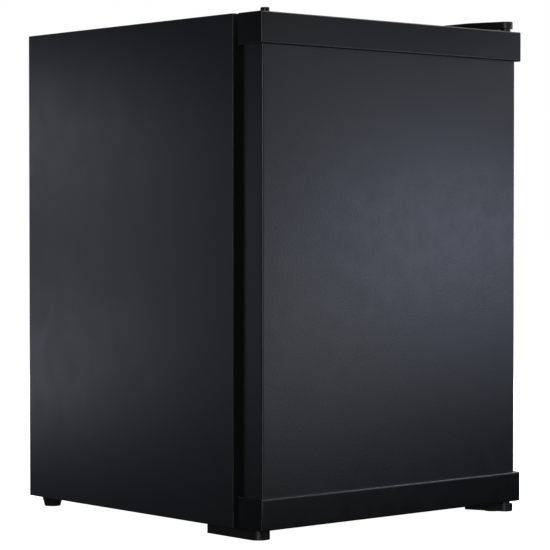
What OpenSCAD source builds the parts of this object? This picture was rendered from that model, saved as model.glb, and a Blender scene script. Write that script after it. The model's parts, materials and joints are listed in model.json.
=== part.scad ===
// Compact single-door refrigerator with a freezer box at the top of its cavity.
// The origin is on the floor, under the middle of the whole appliance.
// The door faces -Y, and its hinges are on the +X side.

/* [Cabinet] */
// Outside width of the cabinet and of the door
cabinet_w = 445; // [442:1:448]
// Depth of the cabinet shell, behind the gasket
cabinet_d = 422.5; // [420:0.5:430]
// Height of the cabinet shell
cabinet_h = 611.5; // [608:0.5:620]
// Height of the cabinet's underside above the floor
leg_h = 13; // [12.5:0.5:14]
// Thickness of the sheet steel
sheet = 0.8; // [0.6:0.1:1]
// Width of the folded front edge that the gasket seals on
flange_w = 30; // [26:1:32]

/* [Insulation] */
// Side wall, from the outside to the cavity
side_wall = 40.5; // [39:0.5:42]
// Roof, from the outside to the cavity
roof_wall = 40.5; // [38:0.5:44]
// Floor, from the outside to the cavity
floor_wall = 38; // [36:0.5:40]
// Back wall, from the outside to the cavity
back_wall = 45.5; // [44:0.5:50]
// Thickness of the moulded liners
liner_t = 2; // [1.5:0.1:2.5]
// Radius of the cavity's long corners
cavity_r = 12; // [8:1:16]

/* [Compressor bay] */
// Depth of the bay at the back of the cabinet
bay_d = 170; // [168:1:176]
// Height of the bay above the cabinet's underside
bay_h = 195; // [194:1:200]
// Radius of the compressor's shell
compressor_r = 69; // [60:1:70]
// Height of the compressor's shell
compressor_h = 162; // [150:1:164]
// Radius of the tubes in the side walls that give off the heat
coil_r = 2.4; // [2:0.1:2.5]
// Number of runs of tube in each side wall
coil_rows = 6; // [4:2:6]

/* [Door] */
// Depth of the door's end caps
door_d = 42.5; // [42:0.5:46]
// Gap between the door and the cabinet, which the gasket fills
gasket_gap = 10; // [9.5:0.5:11]
// Height of the top end cap
top_cap_h = 38; // [34:1:40]
// Height of the bottom end cap
bottom_cap_h = 38; // [34:1:40]
// How far the caps stand out beyond the steel skin at each side
cap_side_step = 6; // [5:0.5:6.5]
// How far the caps stand out in front of the steel skin
cap_front_step = 5.5; // [4.5:0.5:6]
// Radius of the caps' front edges
cap_edge_r = 4; // [2:0.5:5]

/* [Hinge] */
// Distance of the hinge axis from the side of the door
hinge_inset = 16.5; // [15.5:0.5:17]
// Distance of the hinge axis from the front of the door
hinge_setback = 13; // [12.5:0.5:14]
// Radius of the hinge pins
hinge_pin_r = 4; // [3:0.25:4.25]
// Radial clearance of everything that turns on a pin
turn_gap = 0.05; // [0.02:0.01:0.08]

/* [Inside] */
// Level of the lowest shelf guides above the floor
shelf_low = 248; // [247:1:250]
// Spacing of the shelf guides
shelf_pitch = 50; // [46:1:52]
// Thickness of the glass shelves
glass_t = 4; // [3:0.5:4]
// Width of the freezer box
freezer_w = 280; // [270:2:284]
// Height of the freezer box
freezer_h = 88; // [84:1:90]
// Floor level of the bottom door rack
bottom_rack_z = 80; // [79:1:84]
// Height of the bottom door rack's front
bottom_rack_h = 75; // [60:1:80]
// Floor level of the middle door rack
middle_rack_z = 270; // [266:1:276]
// Height of the middle door rack's front
middle_rack_h = 60; // [50:1:70]
// Floor level of the top door rack
top_rack_z = 395; // [385:1:398]
// Height of the top door rack's front
top_rack_h = 57; // [50:1:60]
// Reach of the door racks into the cavity, from the back of the door
rack_reach = 100; // [80:1:100]

/* [Hidden] */
$fn = 48;

// Outside planes
half_w = cabinet_w / 2;
total_d = door_d + gasket_gap + cabinet_d;
front_y = -total_d / 2;
door_back = front_y + door_d;
cab_front = door_back + gasket_gap;
back_y = total_d / 2;
cab_top = leg_h + cabinet_h;
in_w = half_w - sheet;
rim_w = half_w - flange_w;

// Cavity and the step over the compressor bay
cav_x = half_w - side_wall;
cav_floor = leg_h + floor_wall;
cav_top = cab_top - roof_wall;
cav_back = back_y - back_wall;
bay_front = back_y - bay_d;
bay_top = leg_h + bay_h;
step_front = bay_front - 35.5;
step_top = bay_top + 35;
rim_h = 30;
guide_reach = 8;

// Field pressed into the back panel, and the steel inside the cabinet's lower front edge
field_x = half_w - 42;
field_z = [bay_top + 40, cab_top - 35];
field_d = 3;
rail_t = 2;

// Door planes
door_bottom = leg_h + 1;
door_top = cab_top - 0.5;
cap_t = 3;
skin_x = half_w - cap_side_step;
skin_y = front_y + cap_front_step;
skin_back = door_back - 7;
skin_low = door_bottom + bottom_cap_h;
skin_high = door_top - top_cap_h;
skin_tuck = 3;
fold_w = 9;
liner_back = skin_back + liner_t;
gasket_base = door_back - 2.5;
gasket_low = door_bottom + 17;
gasket_high = door_top - 15;
dyke_x = cav_x - 10;
dyke_w = 14;
dyke_low = cav_floor + 10;
dyke_high = cav_top - 10;
dyke_back = cab_front + 15;
panel_back = dyke_back - 20;
lug_in = dyke_x - dyke_w - 6;
rack_x = lug_in - 2;
rail_z = 196;

// Hinge axis, shared by both pins
hinge_x = half_w - hinge_inset;
hinge_y = front_y + hinge_setback;
bush_r = hinge_pin_r + 2.5;
bush_len = 20;
boss_r = bush_r + 2.5;
flange_r = hinge_pin_r + 5;
flange_t = 2;
plug_r = 4;
plug_len = 15;

// Outer and inner edge of the gasket's bellows, and the width of the magnets in them
bellows = [hinge_x + 2, hinge_x - 16];
magnet_w = 8;

// Levelling feet, front brackets and rear feet
foot_x = half_w - 21.5;
foot_y = front_y + 30.5;
foot_r = 10.9;
stud_r = 4;
plate_t = 3;
bracket_inner = foot_x - 19;
foot_end_r = 13.5;
bracket_back = cab_front + 58;
bracket_screw_x = foot_x - 6;
bracket_screw_y = [cab_front + 15, cab_front + 40];
screw_r = 2.4;
arm_top = leg_h - 2.3;
arm_t = 2.5;
arm_r = 10.6;
arm_knee = [foot_x - 26, cab_front + 2];
skirt_low = 1.2;
skirt_t = 1.6;
rear_foot = [half_w - 19.5, back_y - 24.5];

// Top hinge
hinge_r = 10;
hinge_left = half_w - 42.5;
hinge_back = cab_front + 53;
cover_top = cab_top + 12.5;
cover_t = 2.2;
arm_low = cab_top + 3.5;
hinge_plate_t = 3;
top_screws = [
    [hinge_x - 14, cab_front + 32],
    [hinge_x + 2, cab_front + 32],
    [hinge_x - 6, cab_front + 44]
];
top_screw_len = 12;

// Compressor, its stubs and the tubes that meet them
comp = [70, back_y - 87.5];
comp_low = leg_h + 6;
comp_bolts = [78, 45];
seam_z = [comp_low + 96, comp_low + 103];
seam_r = compressor_r + 2.5;
shell_t = 3;
shell_c = 35;
motor_low = comp_low + 26;
spring_r = 5.5;
spring_wire = 1.2;
spring_at = 36;
plate_front = bay_front + 12.5;
plate_back = back_y - 5.5;
gland_at = [-half_w + 52.5, leg_h + 19];
stub_len = 14;
discharge_z = 150;
suction_z = 120;
fine_r = 2.5;
suction_r = 4;
capillary_r = 1;
cable_r = 3;

// Freezer box: its left edge, right edge, underside and top, and its back
freezer = [10 - cav_x, 10 - cav_x + freezer_w, cav_top - 10 - freezer_h, cav_top - 10];
ev_back = cav_back - 42;

// Runs of tube in a side wall: in at one column, to and fro, and out at the other column
coil_x = in_w - coil_r - 0.3;
coil_pitch = 60;
coil_bend = coil_pitch / 2;
coil_low = bay_top + 52;
coil_high = coil_low + (coil_rows - 1) * coil_pitch;
coil_front = cab_front + 35;
coil_rear = back_y - 57.5;
column_a = back_y - 32.5;
column_b = back_y - 15.5;
stub_z = bay_top - 13;
coil_turns = [for (i = [1:coil_rows - 2])
    for (y = i % 2 == 1 ? [coil_front, coil_rear] : [coil_rear, coil_front])
        [coil_x, y, coil_low + i * coil_pitch]];
coil_path = concat(
    [[coil_x, column_a, stub_z], [coil_x, column_a, coil_low], [coil_x, coil_front, coil_low]],
    coil_turns,
    [[coil_x, coil_front, coil_high], [coil_x, column_b, coil_high], [coil_x, column_b, stub_z]]
);
drier = [-half_w + 22.5, column_a];
drier_top = stub_z - 20;
drier_low = drier_top - 80;
link_path = [
    [-coil_x, column_b, stub_z], [-coil_x, column_b, stub_z - 15],
    [coil_x, column_b, stub_z - 15], [coil_x, column_b, stub_z]
];
drier_path = [
    [-coil_x, column_a, stub_z], [-coil_x, column_a, stub_z - 7],
    [drier.x, column_a, stub_z - 7], [drier.x, column_a, drier_top]
];
discharge_x = 185;
discharge_path = [
    [comp.x + compressor_r + stub_len, comp.y, discharge_z], [discharge_x, comp.y, discharge_z],
    [discharge_x, column_a, discharge_z], [coil_x, column_a, discharge_z], [coil_x, column_a, stub_z]
];
suction_x = -60;
suction_y = back_y - 22.5;
suction_in = freezer[3] - 44;
suction_path = [
    [comp.x - compressor_r - stub_len, comp.y, suction_z], [suction_x, comp.y, suction_z],
    [suction_x, suction_y, suction_z], [suction_x, suction_y, suction_in],
    [suction_x, ev_back, suction_in]
];
capillary_x = -150;
capillary_in = freezer[3] - 29;
capillary_path = [
    [drier.x, column_a, drier_low], [drier.x, column_a, drier_low - 20],
    [capillary_x, column_a, drier_low - 20], [capillary_x, column_a, capillary_in],
    [capillary_x, ev_back, capillary_in]
];

// Thermostat beside the freezer box, and its cable
stat_front = cab_front + 115;
stat_left = cav_x - 54;
knob_at = [cav_x - 27, freezer[2] + 45];
stat_z = [knob_at.y - 33, knob_at.y + 33];
stat_cable_y = stat_front + 22;
knob_r = 20;
knob_shaft_r = 3;
stat_body_y = [stat_front + 10, stat_front + 34];
bulb_at = [freezer[1] + 4, knob_at.y + 8];
bulb_tube_r = 1.2;
cable_x = half_w - 22.5;
cable_y = comp.y - 15;
relay_top = 118;
relay_x = comp.x + compressor_r - 8;
cable_path = [
    [relay_x + 27, cable_y, relay_top], [relay_x + 27, cable_y, bay_top - 23],
    [cable_x, cable_y, bay_top - 23], [cable_x, cable_y, knob_at.y],
    [cable_x, stat_cable_y, knob_at.y], [knob_at.x + 17, stat_cable_y, knob_at.y]
];

// Freezer box, its frame and flap, and the drip tray below
ev_front = cab_front + 113;
ev_t = 1.5;
frame_front = ev_front - 8;
flap_axis = [frame_front - 4.3, freezer[2] + 0.5];
flap_pin_r = 2.95;
flap_t = 4;
flap_h = freezer_h - 7;
tray_top = freezer[2] - 10;
tray_floor = freezer[2] - 28;
hanger_x = [freezer[0] + 20, freezer[1] - 20];
hanger_spots = [for (x = hanger_x, y = [ev_front + 25, ev_back - 25]) [x, y]];
hanger_len = 14;

// Glass shelves, and the racks on the door as floor level and height, from the bottom up
shelf_levels = [for (i = [0:3]) shelf_low + i * shelf_pitch];
shelf_x = cav_x - 2;
shelf_front = cab_front + 107;
shelf_rear = cav_back - 40;
racks = [[bottom_rack_z, bottom_rack_h], [middle_rack_z, middle_rack_h], [top_rack_z, top_rack_h]];

// Colours
steel_black = [0.14, 0.15, 0.17];
cap_black = [0.09, 0.09, 0.1];
rubber_black = [0.04, 0.04, 0.045];
zinc = [0.62, 0.63, 0.65];
copper = [0.72, 0.42, 0.27];
liner_white = [0.93, 0.94, 0.95];
foam_yellow = [0.93, 0.87, 0.66];
plate_silver = [0.78, 0.79, 0.8];
clear_blue = [0.75, 0.85, 0.88, 0.5];

// A box between two opposite corners
module block(lo, hi) translate(lo) cube(hi - lo);

// The children, and their mirror image across X = 0
module both_sides() {
    children();
    mirror([1, 0, 0]) children();
}

// Turns +Z onto a direction
module along(d) rotate([0, acos(d.z / norm(d)), atan2(d.y, d.x)]) children();

// A cylinder from one point to another
module rod(from, to, r) translate(from) along(to - from) cylinder(h = norm(to - from), r = r);

// A rectangle with round corners
module rounded(x0, y0, x1, y1, r) {
    translate([x0 + r, y0]) square([x1 - x0 - 2 * r, y1 - y0]);
    translate([x0, y0 + r]) square([x1 - x0, y1 - y0 - 2 * r]);
    for (x = [x0 + r, x1 - r], y = [y0 + r, y1 - r]) translate([x, y]) circle(r);
}

// Extrudes an XZ outline along Y
module deep(y0, y1) translate([0, y1, 0]) rotate([90, 0, 0]) linear_extrude(y1 - y0) children();

// Extrudes a YZ outline along X
module wide(x0, x1) translate([x0, 0, 0]) rotate([90, 0, 90]) linear_extrude(x1 - x0) children();

// Extrudes an XY outline from one level to another
module tall(z0, z1) translate([0, 0, z0]) linear_extrude(z1 - z0) children();

// Carries a flat profile along points that turn at right angles, with a round bend at each turn
module run(points, bend) {
    last = len(points) - 1;
    way = [for (i = [0:last - 1]) (points[i + 1] - points[i]) / norm(points[i + 1] - points[i])];
    for (i = [0:last - 1]) {
        from = points[i] + (i > 0 ? bend : 0) * way[i];
        to = points[i + 1] - (i < last - 1 ? bend : 0) * way[i];
        long = norm(to - from);
        if (long > 0.01) translate(from) along(way[i]) linear_extrude(long) children();
    }
    for (i = [1:1:last - 1]) {
        a = way[i - 1];
        n = way[i];
        k = cross(a, n);
        c = points[i] - bend * a + bend * n;
        multmatrix([for (j = [0:2]) [-n[j], a[j], k[j], c[j]]])
            rotate_extrude(angle = 90) translate([bend, 0]) children();
    }
}

// A round tube and the square channel that it lies in
module tube(points, bend, r) run(points, bend) circle(r, $fn = 24);
module channel(points, bend, r) run(points, bend) square(2 * r + 0.4, center = true);

// ---- Cabinet shell ----

// Folded sheet: both sides, the top, and the front edge turned inward
module outer_wrap() color(steel_black) difference() {
    block([-half_w, cab_front, leg_h], [half_w, back_y, cab_top]);
    block([-in_w, cab_front + sheet, leg_h - 1], [in_w, back_y + 1, cab_top - sheet]);
    block([-rim_w, cab_front - 1, leg_h - 1], [rim_w, cab_front + 2 * sheet, cab_top - rim_h]);
    screw_holes(cab_top - sheet - 1, cab_top + 1);
}

// Holes for the top hinge's screws
module screw_holes(z0, z1)
    for (s = top_screws) translate([s.x, s.y, z0]) cylinder(h = z1 - z0, r = screw_r);

// The field pressed into the back panel for stiffness
module back_field(grow, y0, y1) deep(y0, y1)
    rounded(-field_x - grow, field_z[0] - grow, field_x + grow, field_z[1] + grow, 10 + grow);

module back_panel() color(zinc) {
    difference() {
        block([-in_w, back_y - sheet, bay_top], [in_w, back_y, cab_top - sheet]);
        back_field(0, back_y - 2, back_y + 1);
    }
    difference() {
        back_field(sheet, back_y - field_d - sheet, back_y - sheet);
        back_field(0, back_y - field_d, back_y + 1);
    }
}

// One folded sheet: the front flange, the floor, the bay's front wall and its ceiling
module base_pan() color(zinc) difference() {
    union() {
        block([-rim_w, cab_front, leg_h], [rim_w, cab_front + sheet, leg_h + rim_h]);
        block([-in_w, cab_front + sheet, leg_h], [in_w, bay_front, leg_h + sheet]);
        block([-in_w, bay_front, leg_h], [in_w, bay_front + sheet, bay_top + sheet]);
        block([-in_w, bay_front, bay_top], [in_w, back_y - sheet, bay_top + sheet]);
    }
    both_sides() block([coil_x - 3, column_a - 3, bay_top - 1], [half_w, column_b + 3, bay_top + 2]);
    translate([suction_x, suction_y, bay_top - 1]) cylinder(h = 3, r = suction_r + 0.2);
    translate([capillary_x, column_a, bay_top - 1]) cylinder(h = 3, r = capillary_r + 0.2);
    translate([cable_x, cable_y, bay_top - 1]) cylinder(h = 3, r = cable_r + 0.2);
    both_sides() bracket_holes(leg_h - 1, leg_h + 2);
}

module bracket_holes(z0, z1)
    for (y = bracket_screw_y) translate([bracket_screw_x, y, z0]) cylinder(h = z1 - z0, r = screw_r);

// Reinforcement inside the front edge, which takes the bracket screws
module front_rail() color(zinc) difference() {
    rail_form();
    both_sides() bracket_holes(leg_h, leg_h + 4);
}

module rail_form() {
    x = bracket_screw_x + 10;
    low = leg_h + sheet;
    block([-x, cab_front + sheet, low], [x, cab_front + 52, low + rail_t]);
    block([-x, cab_front + 52 - rail_t, low], [x, cab_front + 52, low + 16]);
}

// The cavity's form, grown by g, without the step over the compressor bay
module cavity_form(g, y0) difference() {
    deep(y0, cav_back + g) rounded(-cav_x - g, cav_floor - g, cav_x + g, cav_top + g, cavity_r + g);
    block([-half_w, step_front + g, 0], [half_w, back_y, step_top - g]);
}

// Moulded liner with its front rim, shelf guides and the holes for tubes and screws
module inner_liner() color(liner_white) {
    difference() {
        union() {
            cavity_form(liner_t, cab_front + sheet);
            liner_rim();
        }
        cavity_form(0, cab_front - 1);
        liner_hole([suction_x, cav_back, suction_in], [0, 1, 0], suction_r);
        liner_hole([capillary_x, cav_back, capillary_in], [0, 1, 0], capillary_r);
        liner_hole([cav_x, stat_cable_y, knob_at.y], [1, 0, 0], cable_r);
        for (s = hanger_spots) translate([s.x, s.y, cav_top - 1]) cylinder(h = 5, r = screw_r);
    }
    both_sides() for (level = shelf_levels) {
        block([cav_x - guide_reach, cab_front + 15, level - 6], [cav_x + 1, cav_back - 30, level]);
        block([cav_x - guide_reach, cab_front + 15, level + glass_t + 0.6],
            [cav_x + 1, cav_back - 30, level + glass_t + 5]);
    }
}

// Hole for a tube or cable of radius r, from the cavity outward
module liner_hole(at, way, r) rod(at - way, at + 4 * way, r + 0.2);

// The rim lies behind the steel front edge
module liner_rim() block([-rim_w - 8, cab_front + sheet, leg_h + rim_h - 7],
    [rim_w + 8, cab_front + sheet + liner_t, cab_top - rim_h + 8]);

// Insulation that fills every space between the shell and the liner
module cabinet_foam() color(foam_yellow) difference() {
    block([-in_w, cab_front + sheet, leg_h + sheet], [in_w, back_y - sheet, cab_top - sheet]);
    block([-half_w, bay_front, 0], [half_w, back_y, bay_top + sheet]);
    cavity_form(liner_t, cab_front - 1);
    liner_rim();
    rail_form();
    back_field(sheet, back_y - field_d - sheet, back_y + 1);
    both_sides() channel(coil_path, coil_bend, coil_r + 0.1);
    channel(suction_path, 16, suction_r);
    channel(capillary_path, 12, capillary_r);
    channel(cable_path, 10, cable_r);
    both_sides() bracket_holes(leg_h, leg_h + 11);
    screw_holes(cab_top - top_screw_len - 1, cab_top);
    for (s = hanger_spots) translate([s.x, s.y, cav_top]) cylinder(h = hanger_len, r = screw_r);
}

// ---- Cooling circuit ----

module right_condenser_tube() color(copper) tube(coil_path, coil_bend, coil_r);

// The left coil, with the link that feeds it and the end that leads to the drier
module left_condenser_tube() color(copper) {
    mirror([1, 0, 0]) tube(coil_path, coil_bend, coil_r);
    tube(link_path, 8, coil_r);
    tube(drier_path, 6, coil_r);
}

// Steel plate across the bottom of the bay, with turned-up edges and a tab for the cord gland
module compressor_plate() color(zinc) difference() {
    union() {
        block([-in_w, plate_front, leg_h], [in_w, plate_back, leg_h + 2]);
        for (y = [plate_front, plate_back - 2]) block([-in_w, y, leg_h], [in_w, y + 2, leg_h + 14]);
        block([gland_at.x - 15, plate_back - 2, leg_h], [gland_at.x + 15, plate_back, leg_h + 34]);
    }
    at_bolts() cylinder(h = 30, r = 3, center = true);
    both_sides() translate([rear_foot.x, rear_foot.y, leg_h - 1]) cylinder(h = 4, r = screw_r);
    translate([gland_at.x, plate_back + 1, gland_at.y]) rotate([90, 0, 0]) cylinder(h = 4, r = 6);
}

module at_bolts() for (x = [-1, 1], y = [-1, 1])
    translate([comp.x + x * comp_bolts.x, comp.y + y * comp_bolts.y, leg_h]) children();

// Half outline of the compressor's shell, shrunk by t
module shell_outline(t) {
    r = compressor_r - t;
    c = shell_c - t;
    z0 = comp_low + t;
    z1 = comp_low + compressor_h - t;
    translate([0, z0]) square([r - c, z1 - z0]);
    translate([0, z0 + c]) square([r, z1 - z0 - 2 * c]);
    for (z = [z0 + c, z1 - c]) intersection() {
        translate([r - c, z]) circle(c);
        translate([0, z0]) square([r, z1 - z0]);
    }
}

// Two drawn halves with a welded seam, the foot plate and the stubs for the tubes
module compressor_shell() color(cap_black) difference() {
    union() {
        translate([comp.x, comp.y, 0]) rotate_extrude() shell_outline(0);
        seam();
        tall(leg_h + 13, leg_h + 16) translate(comp)
            rounded(-comp_bolts.x - 12, -comp_bolts.y - 12, comp_bolts.x + 12, comp_bolts.y + 12, 12);
        rod([comp.x + 50, comp.y, discharge_z], discharge_path[0], fine_r + 1);
        rod([comp.x - 50, comp.y, suction_z], suction_path[0], suction_r + 1);
        rod([comp.x, comp.y + 50, discharge_z], [comp.x, comp.y + compressor_r + 12, discharge_z], fine_r);
    }
    translate([comp.x, comp.y, 0]) rotate_extrude() shell_outline(shell_t);
    at_bolts() cylinder(h = 30, r = 7);
}

// Flange where the two halves are welded
module seam() tall(seam_z[0], seam_z[1]) translate(comp) circle(seam_r);

// Stator, crankcase and cylinder head, which hang on the springs inside the shell
module compressor_motor() color(plate_silver) translate([comp.x, comp.y, motor_low]) {
    difference() {
        cylinder(h = 45, r = 50);
        translate([0, 0, -1]) cylinder(h = 20, r = 24);
    }
    translate([0, 0, 45]) cylinder(h = 26, r = 38);
    translate([0, 0, 71]) cylinder(h = 14, r = 12);
    block([20, -17, 47], [56, 17, 69]);
}

// Close-wound springs under the motor, drawn as stacks of rings
module motor_springs() color(zinc) for (a = [45:90:315])
    translate([comp.x + spring_at * cos(a), comp.y + spring_at * sin(a), 0]) difference() {
        low = spring_seat();
        translate([0, 0, low]) cylinder(h = motor_low - low, r = spring_r + spring_wire);
        translate([0, 0, low - 1]) cylinder(h = motor_low - low + 2, r = spring_r - spring_wire);
        for (z = [low + 3:4:motor_low - 2]) translate([0, 0, z]) difference() {
            cylinder(h = 0.8, r = spring_r + 3);
            translate([0, 0, -1]) cylinder(h = 3, r = spring_r);
        }
    }

// Level at which the springs stand on the shell's curved bottom
function spring_seat() = let (
    c = shell_c - shell_t,
    reach = spring_at + spring_r + spring_wire - compressor_r + shell_c
) comp_low + shell_c - sqrt(c * c - reach * reach);

module compressor_grommets() color(rubber_black) at_bolts() difference() {
    union() {
        translate([0, 0, 2]) cylinder(h = 11, r = 10);
        translate([0, 0, 13]) cylinder(h = 3, r = 7);
        translate([0, 0, 16]) cylinder(h = 7, r = 10);
    }
    cylinder(h = 30, r = 3);
}

module compressor_bolts() color(zinc) at_bolts() {
    translate([0, 0, -3]) cylinder(h = 3, r = 6);
    translate([0, 0, -3]) cylinder(h = 31, r = 3);
    translate([0, 0, 23]) cylinder(h = 1.5, r = 8);
    translate([0, 0, 24.5]) cylinder(h = 5, r = 5.77, $fn = 6);
}

// Cover of the start relay and overload, hooked to the side of the shell
module relay_cover() color(cap_black) difference() {
    block([relay_x, comp.y - 26, relay_top - 56], [relay_x + 36, comp.y + 26, relay_top]);
    block([relay_x - 1, comp.y - 24, relay_top - 54], [relay_x + 34, comp.y + 24, relay_top - 2]);
    tall(0, bay_top) translate(comp) circle(compressor_r);
    seam();
}

module discharge_tube() color(copper) tube(discharge_path, 12, fine_r);

// Drier with a cone at each end
module filter_drier() color(copper) translate([drier.x, drier.y, drier_low]) {
    cylinder(h = 10, r1 = capillary_r + 0.5, r2 = 9.5);
    translate([0, 0, 10]) cylinder(h = 60, r = 9.5);
    translate([0, 0, 70]) cylinder(h = 10, r1 = 9.5, r2 = coil_r + 0.5);
}

module capillary_tube() color(copper) tube(capillary_path, 12, capillary_r);

module suction_tube() color(copper) tube(suction_path, 16, suction_r);

// Cable from the relay to the thermostat
module control_cable() color(liner_white) tube(cable_path, 10, cable_r);

// Rubber gland where the supply cord would enter
module cord_gland() color(rubber_black)
    translate([gland_at.x, plate_back + 2, gland_at.y]) rotate([90, 0, 0]) difference() {
        union() {
            cylinder(h = 6, r = 6);
            cylinder(h = 2, r = 9);
            translate([0, 0, 4]) cylinder(h = 4, r = 9);
        }
        translate([0, 0, -1]) cylinder(h = 10, r = 4);
    }

// ---- Feet and brackets ----

module rear_feet() color(rubber_black) both_sides()
    translate([rear_foot.x, rear_foot.y, 0]) difference() {
        cylinder(h = leg_h, r1 = 10.5, r2 = 14);
        translate([0, 0, -1]) cylinder(h = 5, r = 5.5);
        cylinder(h = leg_h + 1, r = screw_r);
    }

module rear_foot_screws() color(zinc) both_sides() translate([rear_foot.x, rear_foot.y, 0]) {
    translate([0, 0, 1.5]) cylinder(h = 2.5, r = 5);
    translate([0, 0, 4]) cylinder(h = leg_h + 6, r = screw_r);
}

// A foot's stud hole through a bracket
module stud_hole() translate([foot_x, foot_y, 0]) cylinder(h = leg_h + 1, r = stud_r + turn_gap);

// Outline of the left bracket's front, drawn in by g: a round end about the foot
module foot_outline(g) {
    r = foot_end_r - g;
    translate([foot_x, foot_y]) circle(r);
    translate([foot_x - r, foot_y]) square([2 * r, cab_front + 1 - foot_y]);
}

// Plate under the front corner, with a skirt round the foot and down its outer side
module left_front_bracket() color(cap_black) mirror([1, 0, 0]) difference() {
    edge = foot_x + foot_end_r;
    low = 0.5;
    union() {
        block([bracket_inner, cab_front, leg_h - plate_t], [edge, bracket_back, leg_h]);
        tall(leg_h - plate_t, leg_h) foot_outline(0);
        tall(low, leg_h) difference() {
            foot_outline(0);
            foot_outline(skirt_t);
        }
        block([edge - skirt_t, cab_front, low], [edge, bracket_back, leg_h]);
    }
    stud_hole();
    bracket_holes(0, leg_h + 1);
}

// Outline of the hinge arm, drawn in by g: a round end about the pin, and a slant that clears the foot
module arm_outline(g) {
    pin = [hinge_x, hinge_y];
    knee = arm_knee + [g, 0];
    edge = hinge_x + arm_r - g;
    polygon([knee, touch(knee, pin, arm_r - g), pin, [edge, hinge_y], [edge, knee.y]]);
    translate(pin) circle(arm_r - g);
}

// Base under the cabinet, a step down to the arm with the pin hole, and a skirt round the arm
module lower_hinge_bracket() color(cap_black) difference() {
    edge = hinge_x + arm_r;
    union() {
        block([arm_knee.x, cab_front - 5, leg_h - plate_t], [edge, bracket_back, leg_h]);
        block([foot_x - 12, cab_front - 5, arm_top - arm_t], [edge, cab_front - 2, leg_h]);
        tall(arm_top - arm_t, arm_top) arm_outline(0);
        tall(skirt_low, arm_top) difference() {
            arm_outline(0);
            arm_outline(skirt_t);
        }
        block([edge - skirt_t, cab_front - 5, skirt_low], [edge, bracket_back, leg_h]);
    }
    stud_hole();
    translate([hinge_x, hinge_y, 0]) cylinder(h = leg_h, r = hinge_pin_r);
    bracket_holes(0, leg_h + 1);
}

// Riveted pin with the collar that carries the door
module lower_hinge_pin() color(cap_black) translate([hinge_x, hinge_y, 0]) {
    low = arm_top - arm_t - 3;
    translate([0, 0, low]) cylinder(h = 3, r = hinge_pin_r + 2.5);
    translate([0, 0, low]) cylinder(h = door_bottom + 17 - low, r = hinge_pin_r);
    translate([0, 0, arm_top]) cylinder(h = door_bottom - 0.3 - arm_top, r = hinge_pin_r + 3);
}

module bracket_screws() color(zinc) both_sides()
    for (y = bracket_screw_y) translate([bracket_screw_x, y, leg_h - plate_t]) {
        translate([0, 0, -2.6]) cylinder(h = 2.6, r = 5);
        cylinder(h = 14, r = screw_r);
    }

// Levelling foot: a disc, a lock nut and a stud that screws into the bracket
module levelling_foot() color(cap_black) translate([foot_x, foot_y, 0]) {
    cylinder(h = 1, r1 = foot_r - 1, r2 = foot_r);
    translate([0, 0, 1]) cylinder(h = 4.4, r = foot_r);
    translate([0, 0, 5.4]) cylinder(h = 2, r = 6.5, $fn = 6);
    translate([0, 0, 5.4]) cylinder(h = leg_h + 0.2 - 5.4, r = stud_r);
}

module left_foot() mirror([1, 0, 0]) levelling_foot();

module right_foot() levelling_foot();

// Where a line from a meets a circle about c on its left
function touch(a, c, r) = let (d = c - a, t = atan2(d.y, d.x) - asin(r / norm(d)))
    a + sqrt(d * d - r * r) * [cos(t), sin(t)];

// Outline of the top hinge, drawn in by g from the cover's outside
module hinge_outline(g) {
    knee = [hinge_left + g, cab_front + 2];
    pin = [hinge_x, hinge_y];
    polygon([knee, touch(knee, pin, hinge_r - g), pin, [hinge_x + hinge_r - g, hinge_y],
        [hinge_x + hinge_r - g, hinge_back - g], [hinge_left + g, hinge_back - g]]);
    translate(pin) circle(hinge_r - g);
}

// Keeps what is in front of the cabinet's front edge, or what is behind it
module front_part() intersection() {
    children();
    translate([0, front_y]) square([half_w, cab_front + 0.1 - front_y]);
}

module rear_part() intersection() {
    children();
    translate([0, cab_front + 0.1]) square([half_w, hinge_back - cab_front]);
}

module top_hinge_plate() color(cap_black) difference() {
    union() {
        tall(cab_top, cab_top + hinge_plate_t) rear_part() hinge_outline(cover_t);
        tall(arm_low, arm_low + hinge_plate_t) front_part() hinge_outline(cover_t);
        tall(cab_top, arm_low + hinge_plate_t) intersection() {
            hinge_outline(cover_t);
            translate([0, cab_front + 0.1]) square([half_w, hinge_plate_t]);
        }
    }
    translate([hinge_x, hinge_y, arm_low - 1]) cylinder(h = 5, r = hinge_pin_r);
    screw_holes(cab_top - 1, cab_top + 5);
}

// Pin with the collar seen between the door and the arm
module top_hinge_pin() color(cap_black) translate([hinge_x, hinge_y, 0]) {
    arm_high = arm_low + hinge_plate_t;
    translate([0, 0, door_top - 18]) cylinder(h = arm_high - door_top + 18, r = hinge_pin_r);
    translate([0, 0, door_top + 0.4]) cylinder(h = arm_low - door_top - 0.4, r = hinge_pin_r + 3);
    translate([0, 0, arm_high]) cylinder(h = 2, r = hinge_pin_r + 2);
}

module top_hinge_screws() color(zinc) for (s = top_screws) translate([s.x, s.y, cab_top]) {
    translate([0, 0, -top_screw_len]) cylinder(h = top_screw_len + hinge_plate_t, r = screw_r);
    translate([0, 0, hinge_plate_t]) cylinder(h = 3, r = 4.5);
}

// Snap-on cover, open below
module top_hinge_cover() color(cap_black) difference() {
    union() {
        tall(arm_low, cover_top) front_part() hinge_outline(0);
        tall(cab_top, cover_top) rear_part() hinge_outline(0);
    }
    tall(arm_low - 1, cover_top - 2) front_part() hinge_outline(cover_t);
    tall(cab_top - 1, cover_top - 2) rear_part() hinge_outline(cover_t);
}

// ---- Inside the cavity ----

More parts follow.
